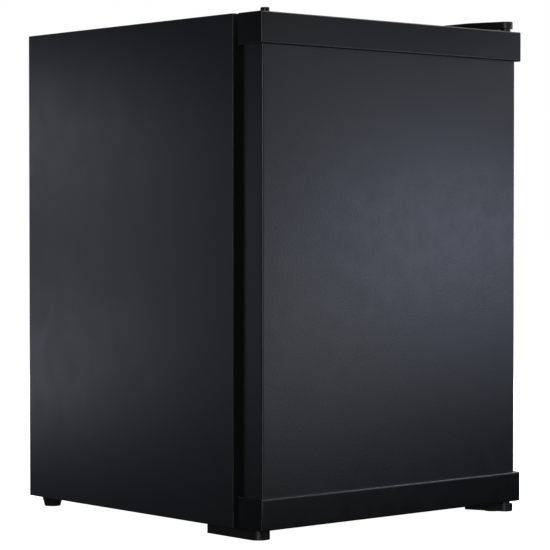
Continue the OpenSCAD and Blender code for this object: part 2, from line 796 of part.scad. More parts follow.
// Freezer box of roll-bonded plate, open at the front, with its channels as ridges
module evaporator() color(plate_silver) {
    difference() {
        block([freezer[0], ev_front, freezer[2]], [freezer[1], ev_back, freezer[3]]);
        block([freezer[0] + ev_t, ev_front - 1, freezer[2] + ev_t],
            [freezer[1] - ev_t, ev_back - ev_t, freezer[3] - ev_t]);
        for (s = hanger_spots) translate([s.x, s.y, freezer[3] - 5]) cylinder(h = 10, r = screw_r);
    }
    for (i = [1:5]) {
        x = freezer[0] + i * (freezer[1] - freezer[0]) / 6;
        translate([x, ev_front + 12, freezer[2] + ev_t]) rotate([-90, 0, 0])
            cylinder(h = ev_back - ev_front - 24, r = 3, $fn = 20);
    }
}

// Screws with spacers that hang the freezer box from the roof of the cavity
module evaporator_screws() color(liner_white) for (s = hanger_spots) translate([s.x, s.y, 0]) {
    low = freezer[3] - ev_t;
    translate([0, 0, low - 3]) cylinder(h = 3, r = 5);
    translate([0, 0, low]) cylinder(h = cav_top + hanger_len - low, r = screw_r);
    translate([0, 0, freezer[3]]) cylinder(h = cav_top - freezer[3], r = 7);
}

// Plastic frame around the mouth, with a lug at each end of the flap's hinge line
module freezer_frame() color(liner_white) difference() {
    union() {
        deep(frame_front, ev_front + 2) difference() {
            rounded(freezer[0] - 4, freezer[2] - 4, freezer[1] + 4, freezer[3] + 4, 4);
            rounded(freezer[0] + 8, freezer[2] + 8, freezer[1] - 8, freezer[3] - 8, 6);
        }
        for (x = [freezer[0] - 4, freezer[1] - 3])
            block([x, frame_front - 10, freezer[2] - 4], [x + 7, frame_front, freezer[2] + 6]);
    }
    block([freezer[0], ev_front, freezer[2]], [freezer[1], ev_back, freezer[3]]);
    translate([freezer[0] - 10, flap_axis.x, flap_axis.y]) rotate([0, 90, 0])
        cylinder(h = freezer[1] - freezer[0] + 20, r = flap_pin_r + turn_gap);
}

// Flap that folds down about its lower edge, with a finger lip and a pin at each end
module freezer_flap() color(clear_blue) {
    low = [freezer[0] + 6, flap_axis.x, flap_axis.y];
    high = [freezer[1] - 6, flap_axis.x + flap_t, flap_axis.y + flap_h];
    block(low, high);
    block([low.x + 80, flap_axis.x - 7, high.z - 3], [high.x - 80, high.y, high.z]);
    rod(low, [high.x, low.y, low.z], flap_t);
    rod([freezer[0] - 3.5, low.y, low.z], [freezer[1] + 3.5, low.y, low.z], flap_pin_r);
}

// Rails under the freezer box that carry the drip tray by its lips
module tray_runners() color(liner_white) for (side = [0, 1]) {
    x = side == 0 ? freezer[0] + 2 : freezer[1] - 2;
    s = side == 0 ? 1 : -1;
    low = tray_top - 4.3;
    for (part = [[0, 2, low, freezer[2]], [0, 9, low, low + 2], [0, 15, freezer[2] - 2, freezer[2]]]) {
        x0 = min(x + s * part[0], x + s * part[1]);
        x1 = max(x + s * part[0], x + s * part[1]);
        block([x0, ev_front + 6, part[2]], [x1, ev_back - 4, part[3]]);
    }
}

module drip_tray() color(clear_blue) {
    x0 = freezer[0] + 12;
    x1 = freezer[1] - 12;
    y1 = ev_back - 6;
    difference() {
        union() {
            block([x0, ev_front + 6, tray_floor], [x1, y1, tray_top]);
            block([x0 - 6, ev_front + 6, tray_top - 2], [x1 + 6, y1, tray_top]);
            block([x0 + 60, ev_front - 2, tray_top - 8], [x1 - 60, ev_front + 6, tray_top - 5]);
        }
        block([x0 + 2, ev_front + 8, tray_floor + 2], [x1 - 2, y1 - 2, tray_top + 1]);
    }
}

module shelf_glass(level) color(clear_blue)
    block([-shelf_x, shelf_front, level + 0.3], [shelf_x, shelf_rear, level + 0.3 + glass_t]);

// Strips that clip round the glass at its front and rear edges
module shelf_trim(level) color(liner_white) {
    x = cav_x - guide_reach - 1;
    difference() {
        for (y = [shelf_front - 3, shelf_rear - 9])
            block([-x, y, level - 2.7], [x, y + 12, level + glass_t + 3]);
        shelf_glass(level);
    }
}

module upper_shelf_glass() shelf_glass(shelf_levels[2]);
module upper_shelf_trim() shelf_trim(shelf_levels[2]);
module lower_shelf_glass() shelf_glass(shelf_levels[0]);
module lower_shelf_trim() shelf_trim(shelf_levels[0]);

// Housing on the right wall beside the freezer box
module thermostat_housing() color(liner_white) difference() {
    block([stat_left, stat_front, stat_z[0]], [cav_x, stat_front + 84, stat_z[1]]);
    block([stat_left + 2, stat_front + 2, stat_z[0] + 2], [cav_x + 1, stat_front + 82, stat_z[1] - 2]);
    rod([knob_at.x, stat_front - 1, knob_at.y], [knob_at.x, stat_front + 3, knob_at.y], knob_shaft_r + 1);
    rod([stat_left - 1, stat_cable_y, bulb_at.y], [stat_left + 3, stat_cable_y, bulb_at.y],
        bulb_tube_r + 0.2);
}

module thermostat_body() color(zinc) difference() {
    block([knob_at.x - 15, stat_body_y[0], knob_at.y - 15],
        [knob_at.x + 17, stat_body_y[1], knob_at.y + 15]);
    rod([knob_at.x, stat_body_y[0] - 1, knob_at.y], [knob_at.x, stat_body_y[1] + 1, knob_at.y],
        knob_shaft_r + turn_gap);
}

// Sensing tube, with its bulb clipped to the side of the freezer box
module thermostat_bulb() color(copper) {
    x = bulb_at.x;
    y = stat_cable_y;
    z = bulb_at.y;
    tube([[knob_at.x - 15, y, z], [x, y, z], [x, y + 60, z]], 6, bulb_tube_r);
    rod([x, y + 60, z], [x, y + 120, z], 3.5);
    for (at = [y + 70, y + 105]) block([freezer[1], at, z - 2], [x, at + 5, z + 2]);
}

// Knob with a grip bar, on the shaft that turns in the thermostat
module thermostat_knob() color(liner_white) {
    back = stat_front - 0.4;
    rod([knob_at.x, back - 4, knob_at.y], [knob_at.x, back, knob_at.y], knob_r);
    rod([knob_at.x, back - 8, knob_at.y], [knob_at.x, back - 4, knob_at.y], knob_r - 2);
    block([knob_at.x - 4, back - 16, knob_at.y - knob_r + 3],
        [knob_at.x + 4, back - 8, knob_at.y + knob_r - 3]);
    rod([knob_at.x, back, knob_at.y], [knob_at.x, stat_body_y[1] - 2, knob_at.y], knob_shaft_r);
}

// ---- Door ----

// Outline of the skin from above, drawn in by g, with round front corners
module skin_outline(g) {
    r = 2.5 - g;
    x = skin_x - g;
    y = skin_y + g;
    translate([-x, y + r]) square([2 * x, skin_back - g - y - r]);
    translate([r - x, y]) square([2 * (x - r), r]);
    for (sx = [r - x, x - r]) translate([sx, y + r]) circle(r);
}

// Folded steel front that wraps round the sides, with a turned-in rear edge
module door_skin() color(steel_black)
    tall(skin_low - skin_tuck, skin_high + skin_tuck) difference() {
        skin_outline(0);
        skin_outline(sheet);
        translate([fold_w - skin_x, skin_back - 2]) square([2 * (skin_x - fold_w), 3]);
    }

// Side view of a cap, with round front edges
module cap_side(z0, z1) {
    r = cap_edge_r;
    translate([front_y + r, z0]) square([door_d - r, z1 - z0]);
    translate([front_y, z0 + r]) square([r, z1 - z0 - 2 * r]);
    for (z = [z0 + r, z1 - r]) translate([front_y + r, z]) circle(r);
}

// Plan of a cap, with round corners
module cap_plan() rounded(-half_w, front_y, half_w, door_back, 3);

module door_top_cap() color(cap_black) {
    lip = skin_high + skin_tuck;
    difference() {
        cap_body(skin_high, door_top, lip, door_top - cap_t);
        bush_room(door_top - bush_len, door_top + 1);
        flange_room(door_top - flange_t, door_top + 1);
        translate([-hinge_x, hinge_y, door_top - plug_len]) cylinder(h = plug_len + 1, r = plug_r);
    }
}

module door_bottom_cap() color(cap_black) {
    lip = skin_low - skin_tuck;
    difference() {
        cap_body(door_bottom, skin_low, door_bottom + cap_t, lip);
        bush_room(door_bottom - 1, door_bottom + bush_len);
        flange_room(door_bottom - 1, door_bottom + flange_t);
    }
}

// A hinge bush and its flange, without the pin's hole
module bush_room(z0, z1) translate([hinge_x, hinge_y, z0]) cylinder(h = z1 - z0, r = bush_r);
module flange_room(z0, z1) translate([hinge_x, hinge_y, z0]) cylinder(h = z1 - z0, r = flange_r);

// A cap from z0 to z1 with a foam pocket from p0 to p1, and bosses for the hinge bush and the plug
module cap_body(z0, z1, p0, p1) {
    difference() {
        intersection() {
            wide(-half_w, half_w) cap_side(z0, z1);
            tall(z0, z1) cap_plan();
        }
        block([cap_t - half_w, front_y + cap_t, p0], [half_w - cap_t, skin_back, p1]);
        tall(skin_low - skin_tuck, skin_high + skin_tuck) skin_outline(0);
        liner_room();
    }
    intersection() {
        for (x = [-hinge_x, hinge_x]) translate([x, hinge_y, p0]) cylinder(h = p1 - p0, r = boss_r);
        block([-half_w, front_y + 1, p0], [half_w, skin_back, p1]);
    }
}

// Space at the back of the door for the liner's edge and the gasket's base
module liner_room() block([-skin_x, skin_back, gasket_low], [skin_x, door_back + 1, gasket_high]);

module hinge_bushes() color(liner_white) {
    difference() {
        union() {
            bush_room(door_top - bush_len, door_top);
            flange_room(door_top - flange_t, door_top);
        }
        pin_room(door_top - bush_len);
    }
    difference() {
        union() {
            bush_room(door_bottom, door_bottom + bush_len);
            flange_room(door_bottom, door_bottom + flange_t);
        }
        pin_room(door_bottom);
    }
}

// The pin's hole through a bush that starts at z0
module pin_room(z0)
    translate([hinge_x, hinge_y, z0 - 1]) cylinder(h = bush_len + 2, r = hinge_pin_r + turn_gap);

// Plug in the spare hinge hole of the other side
module hinge_hole_plug() color(cap_black) translate([-hinge_x, hinge_y, door_top]) {
    translate([0, 0, -plug_len]) cylinder(h = plug_len, r = plug_r);
    cylinder(h = 5.5, r = 5.5);
}

// Raised ridge of the liner that reaches into the cavity, shrunk by g
module dyke_form(g) difference() {
    x = dyke_x - dyke_w + g;
    z0 = dyke_low + dyke_w - g;
    z1 = dyke_high - dyke_w + g;
    deep(skin_back - 1, dyke_back - g)
        rounded(-dyke_x + g, dyke_low + g, dyke_x - g, dyke_high - g, 20 - g);
    deep(panel_back - g, dyke_back + 1) rounded(-x, z0, x, z1, 10 + g);
}

// Inner panel of the door with its ridge, the lugs for the racks and the sockets of the bottle rail
module door_liner() color(liner_white) {
    difference() {
        union() {
            block([2 - skin_x, skin_back, gasket_low], [skin_x - 2, liner_back, gasket_high]);
            intersection() {
                dyke_form(0);
                block([-half_w, skin_back, 0], [half_w, 0, cab_top]);
            }
        }
        dyke_form(liner_t);
    }
    both_sides() {
        for (r = racks)
            block([lug_in, panel_back + 2, r[0] + 10], [lug_in + 6.5, panel_back + 14, r[0] + 20]);
        block([lug_in - 1, panel_back - 1, rail_z - 6], [lug_in + 6.5, panel_back + 6, rail_z + 6]);
    }
}

// Insulation of the door
module door_foam() color(foam_yellow) difference() {
    union() {
        tall(skin_low - skin_tuck, skin_high + skin_tuck) intersection() {
            skin_outline(sheet);
            translate([-half_w, front_y]) square([cabinet_w, skin_back - sheet - front_y]);
        }
        block([fold_w - skin_x, skin_back - 1.5, skin_low - skin_tuck],
            [skin_x - fold_w, skin_back, skin_high + skin_tuck]);
        intersection() {
            dyke_form(liner_t);
            block([-half_w, skin_back - 1, 0], [half_w, 0, cab_top]);
        }
        cap_fill(skin_high + skin_tuck, door_top - cap_t);
        cap_fill(door_bottom + cap_t, skin_low - skin_tuck);
    }
}

// Foam in a cap's pocket, round the bosses
module cap_fill(z0, z1) difference() {
    block([cap_t - half_w, front_y + cap_t, z0], [half_w - cap_t, skin_back, z1]);
    for (x = [-hinge_x, hinge_x]) translate([x, hinge_y, z0 - 1]) cylinder(h = z1 - z0 + 2, r = boss_r);
}

// Rubber gasket: a base round the liner's edge, and hollow bellows that hold the magnets
module door_gasket() color(rubber_black) difference() {
    union() {
        deep(liner_back, gasket_base) difference() {
            translate([-skin_x, gasket_low]) square([2 * skin_x, gasket_high - gasket_low]);
            gasket_hole();
        }
        deep(skin_back, liner_back) difference() {
            translate([-skin_x, gasket_low]) square([2 * skin_x, gasket_high - gasket_low]);
            translate([2 - skin_x, gasket_low - 1]) square([2 * skin_x - 4, gasket_high - gasket_low + 2]);
        }
        deep(gasket_base, cab_front - 0.3) difference() {
            rounded(-bellows[0], gasket_low, bellows[0], gasket_high, 4);
            gasket_hole();
        }
    }
    magnet_ring();
}

module gasket_hole() {
    w = bellows[0] - bellows[1];
    translate([-bellows[1], gasket_low + w]) square([2 * bellows[1], gasket_high - gasket_low - 2 * w]);
}

// Path of the magnets inside the bellows
module magnet_ring() deep(cab_front - 5, cab_front - 1.3) difference() {
    m = 5;
    translate([m - bellows[0], gasket_low + m])
        square([2 * (bellows[0] - m), gasket_high - gasket_low - 2 * m]);
    translate([m + magnet_w - bellows[0], gasket_low + m + magnet_w])
        square([2 * (bellows[0] - m - magnet_w), gasket_high - gasket_low - 2 * (m + magnet_w)]);
}

module gasket_magnets() color(zinc) magnet_ring();

// A door rack that hangs on two lugs and lifts off upward
module rack(z0, h) color(clear_blue) {
    y0 = panel_back + 0.5;
    y1 = door_back + rack_reach;
    wall = 2.2;
    difference() {
        wide(-rack_x, rack_x) polygon([
            [y0, z0], [y1 - 7, z0], [y1, z0 + h], [y1 - 4, z0 + h], [y0 + 20, z0 + 34], [y0, z0 + 34]
        ]);
        wide(wall - rack_x, rack_x - wall) polygon([
            [y0 + wall, z0 + wall], [y1 - 7 - wall, z0 + wall], [y1 - wall, z0 + h + 1],
            [y1 - 4, z0 + h + 2], [y0 + wall, z0 + h + 2]
        ]);
    }
    both_sides() block([rack_x - 1, y0 + 2, z0 + 20.3], [lug_in + 5, y0 + 12, z0 + 28]);
}

module bottom_rack() rack(racks[0][0], racks[0][1]);
module middle_rack() rack(racks[1][0], racks[1][1]);
module top_rack() rack(racks[2][0], racks[2][1]);

// Rail that keeps tall bottles in the bottom rack
module bottle_rail() color(plate_silver) {
    x = lug_in + 3;
    y0 = panel_back + 6;
    y1 = door_back + rack_reach - 8;
    tube([[-x, y0, rail_z], [-x, y1, rail_z], [x, y1, rail_z], [x, y0, rail_z]], 12, 3);
}

outer_wrap();
back_panel();
base_pan();
cabinet_foam();
inner_liner();
front_rail();
left_condenser_tube();
right_condenser_tube();
compressor_plate();
compressor_shell();
compressor_motor();
motor_springs();
compressor_grommets();
compressor_bolts();
relay_cover();
discharge_tube();
filter_drier();
capillary_tube();
suction_tube();
control_cable();
cord_gland();
rear_feet();
rear_foot_screws();
left_front_bracket();
lower_hinge_bracket();
lower_hinge_pin();
bracket_screws();
top_hinge_plate();
top_hinge_pin();
top_hinge_screws();
top_hinge_cover();
evaporator();
evaporator_screws();
freezer_frame();
tray_runners();
thermostat_housing();
thermostat_body();
thermostat_bulb();
door_skin();
door_top_cap();
door_bottom_cap();
door_foam();
door_liner();
door_gasket();
gasket_magnets();
hinge_bushes();
hinge_hole_plug();
bottle_rail();
freezer_flap();
drip_tray();
upper_shelf_glass();
upper_shelf_trim();
lower_shelf_glass();
lower_shelf_trim();
thermostat_knob();
left_foot();
right_foot();
top_rack();
middle_rack();
bottom_rack();
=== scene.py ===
"""Looks of a compact single-door refrigerator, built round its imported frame. Lengths are in metres."""

import json
import math

import bmesh
import bpy
from mathutils import Matrix, Vector


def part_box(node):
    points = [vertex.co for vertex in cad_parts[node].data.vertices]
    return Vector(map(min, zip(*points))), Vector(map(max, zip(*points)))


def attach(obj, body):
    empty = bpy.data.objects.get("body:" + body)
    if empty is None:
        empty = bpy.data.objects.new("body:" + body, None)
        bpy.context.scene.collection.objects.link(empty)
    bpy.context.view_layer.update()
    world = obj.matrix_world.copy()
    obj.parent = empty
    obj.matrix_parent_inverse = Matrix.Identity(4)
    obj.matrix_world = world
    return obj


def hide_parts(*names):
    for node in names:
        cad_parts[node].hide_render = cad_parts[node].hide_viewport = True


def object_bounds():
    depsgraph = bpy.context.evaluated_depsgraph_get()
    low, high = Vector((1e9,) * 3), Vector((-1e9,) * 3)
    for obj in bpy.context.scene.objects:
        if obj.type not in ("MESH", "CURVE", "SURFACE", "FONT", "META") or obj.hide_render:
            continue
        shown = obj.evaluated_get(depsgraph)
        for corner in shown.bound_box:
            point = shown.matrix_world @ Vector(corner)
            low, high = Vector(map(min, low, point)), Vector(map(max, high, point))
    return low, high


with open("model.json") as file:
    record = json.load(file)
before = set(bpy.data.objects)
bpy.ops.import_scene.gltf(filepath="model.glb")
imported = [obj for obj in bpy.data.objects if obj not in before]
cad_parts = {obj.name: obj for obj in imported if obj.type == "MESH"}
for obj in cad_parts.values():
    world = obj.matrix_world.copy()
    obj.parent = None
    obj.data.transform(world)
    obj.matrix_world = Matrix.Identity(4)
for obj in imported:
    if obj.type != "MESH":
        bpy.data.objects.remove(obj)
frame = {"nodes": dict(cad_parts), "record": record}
cad_lo, cad_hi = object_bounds()
MM = 0.001


# ---- Sizes, taken from the frame ----

shell_lo, shell_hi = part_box("outer_wrap")
cap_lo, cap_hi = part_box("door_top_cap")
low_cap_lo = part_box("door_bottom_cap")[0]
skin_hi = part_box("door_skin")[1]
seal_lo, seal_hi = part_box("door_gasket")
rim_lo, rim_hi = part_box("inner_liner")
door_liner_lo, door_liner_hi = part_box("door_liner")
freezer_lo, freezer_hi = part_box("evaporator")
housing_lo, housing_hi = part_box("thermostat_housing")
knob_lo, knob_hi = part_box("thermostat_knob")
plug_lo, plug_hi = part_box("hinge_hole_plug")
bush_lo, bush_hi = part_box("hinge_bushes")

SHEET = 0.8 * MM
LINER = 2 * MM
PLATE = 1.5 * MM
CAVITY_R = 12 * MM
BUSH_R = 6.5 * MM
BUSH_FLANGE_T = 2 * MM
BUSH_LEN = 20 * MM
PLUG_R = 4 * MM
FLANGE_W = 30 * MM
GLASS_PLAY = 0.3 * MM

half_w = shell_hi.x
rim_w = half_w - FLANGE_W
hinge_x = (bush_lo.x + bush_hi.x) / 2
hinge_y = (bush_lo.y + bush_hi.y) / 2
bush_flange_r = (bush_hi.x - bush_lo.x) / 2
cav_x = housing_hi.x
cav_floor = shell_lo.z + 38 * MM
cav_top = shell_hi.z - 40.5 * MM
cav_back = rim_hi.y - LINER
step_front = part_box("compressor_plate")[0].y - 48 * MM
step_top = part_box("base_pan")[1].z - SHEET + 35 * MM
level_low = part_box("lower_shelf_glass")[0].z - GLASS_PLAY
level_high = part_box("upper_shelf_glass")[0].z - GLASS_PLAY
glass_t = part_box("upper_shelf_glass")[1].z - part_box("upper_shelf_glass")[0].z
rail_z = (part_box("bottle_rail")[0].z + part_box("bottle_rail")[1].z) / 2
foot_lo, foot_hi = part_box("right_foot")


# ---- Camera, light and floor ----


def add_camera():
    """A long lens at about half height, looking at the front left corner."""
    camera = bpy.data.objects.new("camera", bpy.data.cameras.new("camera"))
    bpy.context.scene.collection.objects.link(camera)
    camera.location = (-1.8791, -2.1673, 0.3743)
    camera.rotation_euler = (math.radians(90 - 1.327), 0, math.radians(-40.997))
    camera.data.lens = 142.53
    camera.data.sensor_width = 36
    bpy.context.scene.camera = camera


def add_softbox(name, location, target, size, power, colour=(1, 1, 1)):
    """A rectangular area light that faces a target point."""
    data = bpy.data.lights.new(name, "AREA")
    data.shape = "RECTANGLE"
    data.size, data.size_y = size
    data.energy = power
    data.color = colour
    light = bpy.data.objects.new(name, data)
    light.location = location
    light.rotation_euler = (Vector(target) - Vector(location)).to_track_quat("-Z", "Y").to_euler()
    light.visible_camera = False
    bpy.context.scene.collection.objects.link(light)


def add_lights():
    """Near softboxes for the glows on the door and the side, and far ones for all the rest."""
    blue = (0.81, 0.88, 1.13)
    pale = (0.88, 0.93, 1.12)
    for z, aim, power in ((0.22, 0.23, 0.32), (0.38, 0.37, 0.69), (0.58, 0.52, 0.16)):
        add_softbox("door_box", (0.52, -0.7, z), (0.11, -0.23, aim), (0.42, 0.2), power, blue)
    for z, aim, size_z, power in ((0.17, 0.19, 0.24, 0.34), (0.64, 0.55, 0.3, 0.18)):
        add_softbox("door_left_box", (0.19, -0.82, z), (-0.1, -0.23, aim), (0.4, size_z), power)
    for z, aim, power in ((0.13, 0.16, 0.32), (0.33, 0.32, 0.08), (0.53, 0.5, 0.28)):
        add_softbox("side_box", (-0.5, 0.85, z), (-half_w, 0.25, aim), (0.42, 0.18), power, pale)
    add_softbox("side_front_box", (-0.66, 0.66, 0.34), (-half_w, 0.1, 0.34), (0.25, 0.5), 0.27, pale)
    add_softbox("edge_box", (-1.75, -1.95, 0.5), (0, 0, 0.35), (0.35, 0.95), 16)
    add_softbox("top_box", (0.3, 0.6, 2.8), (0, 0.1, 0.4), (1.2, 1.2), 40)
    add_softbox("brow_box", (1.7, -0.2, 2.3), (0.1, -0.1, 0.3), (1.2, 1.2), 14)
    add_softbox("ledge_box", (0.75, -0.36, 0.68), (0, -0.24, 0.05), (0.25, 0.25), 0.75)
    add_softbox("right_box", (2.2, 0.7, 0.8), (0.1, 0.1, 0.3), (1.2, 1.2), 25)
    add_softbox("rear_box", (0.9, 2.5, 0.45), (0, 0.2, 0.3), (1.6, 0.7), 15)


def add_world():
    """White behind the object, and a dim even light everywhere."""
    world = bpy.data.worlds.new("studio")
    bpy.context.scene.world = world
    world.use_nodes = True
    tree = world.node_tree
    backdrop = tree.nodes["Background"]
    backdrop.inputs["Color"].default_value = (1, 1, 1, 1)
    ambient = tree.nodes.new("ShaderNodeBackground")
    ambient.inputs["Color"].default_value = (0.9, 0.95, 1, 1)
    ambient.inputs["Strength"].default_value = 0.03
    path = tree.nodes.new("ShaderNodeLightPath")
    mix = tree.nodes.new("ShaderNodeMixShader")
    tree.links.new(path.outputs["Is Camera Ray"], mix.inputs[0])
    tree.links.new(ambient.outputs[0], mix.inputs[1])
    tree.links.new(backdrop.outputs[0], mix.inputs[2])
    tree.links.new(mix.outputs[0], tree.nodes["World Output"].inputs[0])


def add_floor():
    """A white ground that lights nothing and isn't mirrored in the object."""
    bm = bmesh.new()
    bmesh.ops.create_grid(bm, x_segments=1, y_segments=1, size=40)
    mesh = bpy.data.meshes.new("floor")
    bm.to_mesh(mesh)
    bm.free()
    floor = bpy.data.objects.new("floor", mesh)
    floor.location.z = cad_lo.z
    bpy.context.scene.collection.objects.link(floor)
    paint = bpy.data.materials.new("floor_white")
    paint.use_nodes = True
    shader = paint.node_tree.nodes["Principled BSDF"]
    shader.inputs["Base Color"].default_value = (0.85, 0.85, 0.85, 1)
    shader.inputs["Roughness"].default_value = 1
    shader.inputs["Specular IOR Level"].default_value = 0
    shader.inputs["Emission Color"].default_value = (1, 1, 1, 1)
    shader.inputs["Emission Strength"].default_value = 1.0
    mesh.materials.append(paint)
    floor.visible_glossy = False
    floor.visible_diffuse = False
    floor.visible_transmission = False


# ---- Materials ----


def blank(name, colour, rough, **sockets):
    """A Principled material, its node tree and its shader."""
    material = bpy.data.materials.new(name)
    material.use_nodes = True
    tree = material.node_tree
    shader = tree.nodes["Principled BSDF"]
    shader.inputs["Base Color"].default_value = (*colour, 1)
    shader.inputs["Roughness"].default_value = rough
    for socket, value in sockets.items():
        shader.inputs[socket.replace("_", " ")].default_value = value
    return material, tree, shader


def place(tree, factors=(1, 1, 1)):
    """Coordinates fixed to the piece, in metres, times a factor for each axis."""
    where = tree.nodes.new("ShaderNodeTexCoord")
    scale = tree.nodes.new("ShaderNodeMapping")
    scale.inputs["Scale"].default_value = factors
    tree.links.new(where.outputs["Object"], scale.inputs["Vector"])
    return scale.outputs["Vector"]


def noise(tree, where, size, detail=2.0, rough=0.5):
    """Noise whose features are about `size` across."""
    node = tree.nodes.new("ShaderNodeTexNoise")
    node.inputs["Scale"].default_value = 1 / size
    node.inputs["Detail"].default_value = detail
    node.inputs["Roughness"].default_value = rough
    tree.links.new(where, node.inputs["Vector"])
    return node.outputs["Fac"]


def cells(tree, where, size, feature="F1", output="Distance"):
    """Cells about `size` across, each round its own point."""
    node = tree.nodes.new("ShaderNodeTexVoronoi")
    node.feature = feature
    node.inputs["Scale"].default_value = 1 / size
    tree.links.new(where, node.inputs["Vector"])
    return node.outputs[output]


def spread(tree, value, low, high):
    """Maps the usual range of a noise to low..high."""
    node = tree.nodes.new("ShaderNodeMapRange")
    node.inputs["From Min"].default_value = 0.3
    node.inputs["From Max"].default_value = 0.7
    node.inputs["To Min"].default_value = low
    node.inputs["To Max"].default_value = high
    tree.links.new(value, node.inputs["Value"])
    return node.outputs["Result"]


def tint(tree, shader, value, dark, light):
    """Base colour between two tones."""
    mix = tree.nodes.new("ShaderNodeMix")
    mix.data_type = "RGBA"
    mix.inputs["A"].default_value = (*dark, 1)
    mix.inputs["B"].default_value = (*light, 1)
    tree.links.new(spread(tree, value, 0, 1), mix.inputs["Factor"])
    tree.links.new(mix.outputs["Result"], shader.inputs["Base Color"])


def emboss(tree, shader, height, depth, strength, below=None):
    """Bump of a real depth. `below` is another bump that it adds to."""
    node = tree.nodes.new("ShaderNodeBump")
    node.inputs["Strength"].default_value = strength
    node.inputs["Distance"].default_value = depth
    tree.links.new(height, node.inputs["Height"])
    if below is not None:
        tree.links.new(below, node.inputs["Normal"])
    tree.links.new(node.outputs["Normal"], shader.inputs["Normal"])
    return node.outputs["Normal"]


def scaled(colour, factor):
    return tuple(c * factor for c in colour)


def vary(tree, shader, colour, rough, patch, amount, rough_amount):
    """Slow variation of colour and gloss over the surface."""
    slow = noise(tree, place(tree), patch, 3)
    tint(tree, shader, slow, scaled(colour, 1 - amount), scaled(colour, 1 + amount))
    fine = noise(tree, place(tree), patch / 5, 4, 0.6)
    gloss = spread(tree, fine, rough - rough_amount, rough + rough_amount)
    tree.links.new(gloss, shader.inputs["Roughness"])


def pebbled_paint(name, colour, rough):
    """Painted sheet steel rolled with a fine leather grain."""
    material, tree, shader = blank(name, colour, rough)
    vary(tree, shader, colour, rough, 0.12, 0.06, 0.03)
    grain = cells(tree, place(tree), 1.7 * MM, "SMOOTH_F1")
    bumps = emboss(tree, shader, grain, 0.19 * MM, 0.75)
    emboss(tree, shader, noise(tree, place(tree), 0.6 * MM), 0.05 * MM, 0.5, bumps)
    return material


def satin_paint(name, colour, rough, peel=0.02 * MM):
    """Painted sheet steel with a faint orange peel."""
    material, tree, shader = blank(name, colour, rough)
    vary(tree, shader, colour, rough, 0.15, 0.05, 0.03)
    emboss(tree, shader, noise(tree, place(tree), 2.2 * MM, 3), peel, 0.5)
    return material


def moulded(name, colour, rough, grain=0.7 * MM, depth=0.03 * MM, **sockets):
    """Injection-moulded plastic with a spark-eroded texture."""
    material, tree, shader = blank(name, colour, rough, **sockets)
    vary(tree, shader, colour, rough, 0.08, 0.05, 0.04)
    emboss(tree, shader, noise(tree, place(tree), grain, 3, 0.6), depth, 0.6)
    return material


def glossy_sheet(name, colour, rough):
    """Vacuum-formed sheet: glossy, slightly wavy."""
    material, tree, shader = blank(name, colour, rough, Coat_Weight=0.25, Coat_Roughness=0.12)
    vary(tree, shader, colour, rough, 0.2, 0.015, 0.03)
    emboss(tree, shader, noise(tree, place(tree), 14 * MM, 2), 0.12 * MM, 0.35)
    return material


def metal(name, colour, rough, factors=(1, 1, 1), grain=0.8 * MM, depth=0.01 * MM, amount=0.08):
    """Bare metal with fine scratches, drawn out along an axis whose factor is small."""
    material, tree, shader = blank(name, colour, rough, Metallic=1.0)
    vary(tree, shader, colour, rough, 0.03, amount, 0.07)
    emboss(tree, shader, noise(tree, place(tree, factors), grain, 3), depth, 0.6)
    return material


def galvanised(name, colour, rough):
    """Hot-dipped steel with its spangle of zinc crystals."""
    material, tree, shader = blank(name, colour, rough, Metallic=1.0)
    spangle = cells(tree, place(tree), 5 * MM, "F1", "Color")
    split = tree.nodes.new("ShaderNodeSeparateColor")
    tree.links.new(spangle, split.inputs[0])
    tint(tree, shader, split.outputs["Red"], scaled(colour, 0.92), scaled(colour, 1.03))
    gloss = spread(tree, split.outputs["Green"], rough - 0.04, rough + 0.04)
    tree.links.new(gloss, shader.inputs["Roughness"])
    emboss(tree, shader, noise(tree, place(tree), 3 * MM, 3), 0.02 * MM, 0.5)
    return material


def copper_tube(name, colour, rough):
    """Drawn copper with dull, darkened patches."""
    material, tree, shader = blank(name, colour, rough, Metallic=1.0)
    tarnish = noise(tree, place(tree), 12 * MM, 4, 0.6)
    tint(tree, shader, tarnish, scaled(colour, 0.55), colour)
    tree.links.new(spread(tree, tarnish, rough + 0.15, rough - 0.08), shader.inputs["Roughness"])
    emboss(tree, shader, noise(tree, place(tree), 1.2 * MM, 2), 0.015 * MM, 0.5)
    return material


def rubber(name, colour, rough):
    """Dull rubber with a fine grain."""
    material, tree, shader = blank(name, colour, rough, Specular_IOR_Level=0.35)
    vary(tree, shader, colour, rough, 0.05, 0.12, 0.06)
    emboss(tree, shader, noise(tree, place(tree), 0.5 * MM, 3), 0.02 * MM, 0.6)
    return material


def clear(name, colour, rough, ior, ripple):
    """Clear plastic or glass, with a slight unevenness."""
    material, tree, shader = blank(name, colour, rough, Transmission_Weight=1.0, IOR=ior)
    haze = noise(tree, place(tree), 0.05, 3)
    tree.links.new(spread(tree, haze, rough * 0.7, rough * 1.3), shader.inputs["Roughness"])
    tint(tree, shader, haze, scaled(colour, 0.97), colour)
    emboss(tree, shader, noise(tree, place(tree), 25 * MM), ripple, 0.4)
    return material


def foamed(name, colour, rough):
    """Rigid foam whose cut face shows its cells."""
    material, tree, shader = blank(name, colour, rough)
    vary(tree, shader, colour, rough, 0.03, 0.12, 0.05)
    emboss(tree, shader, cells(tree, place(tree), 1.1 * MM), 0.3 * MM, 0.8)
    return material


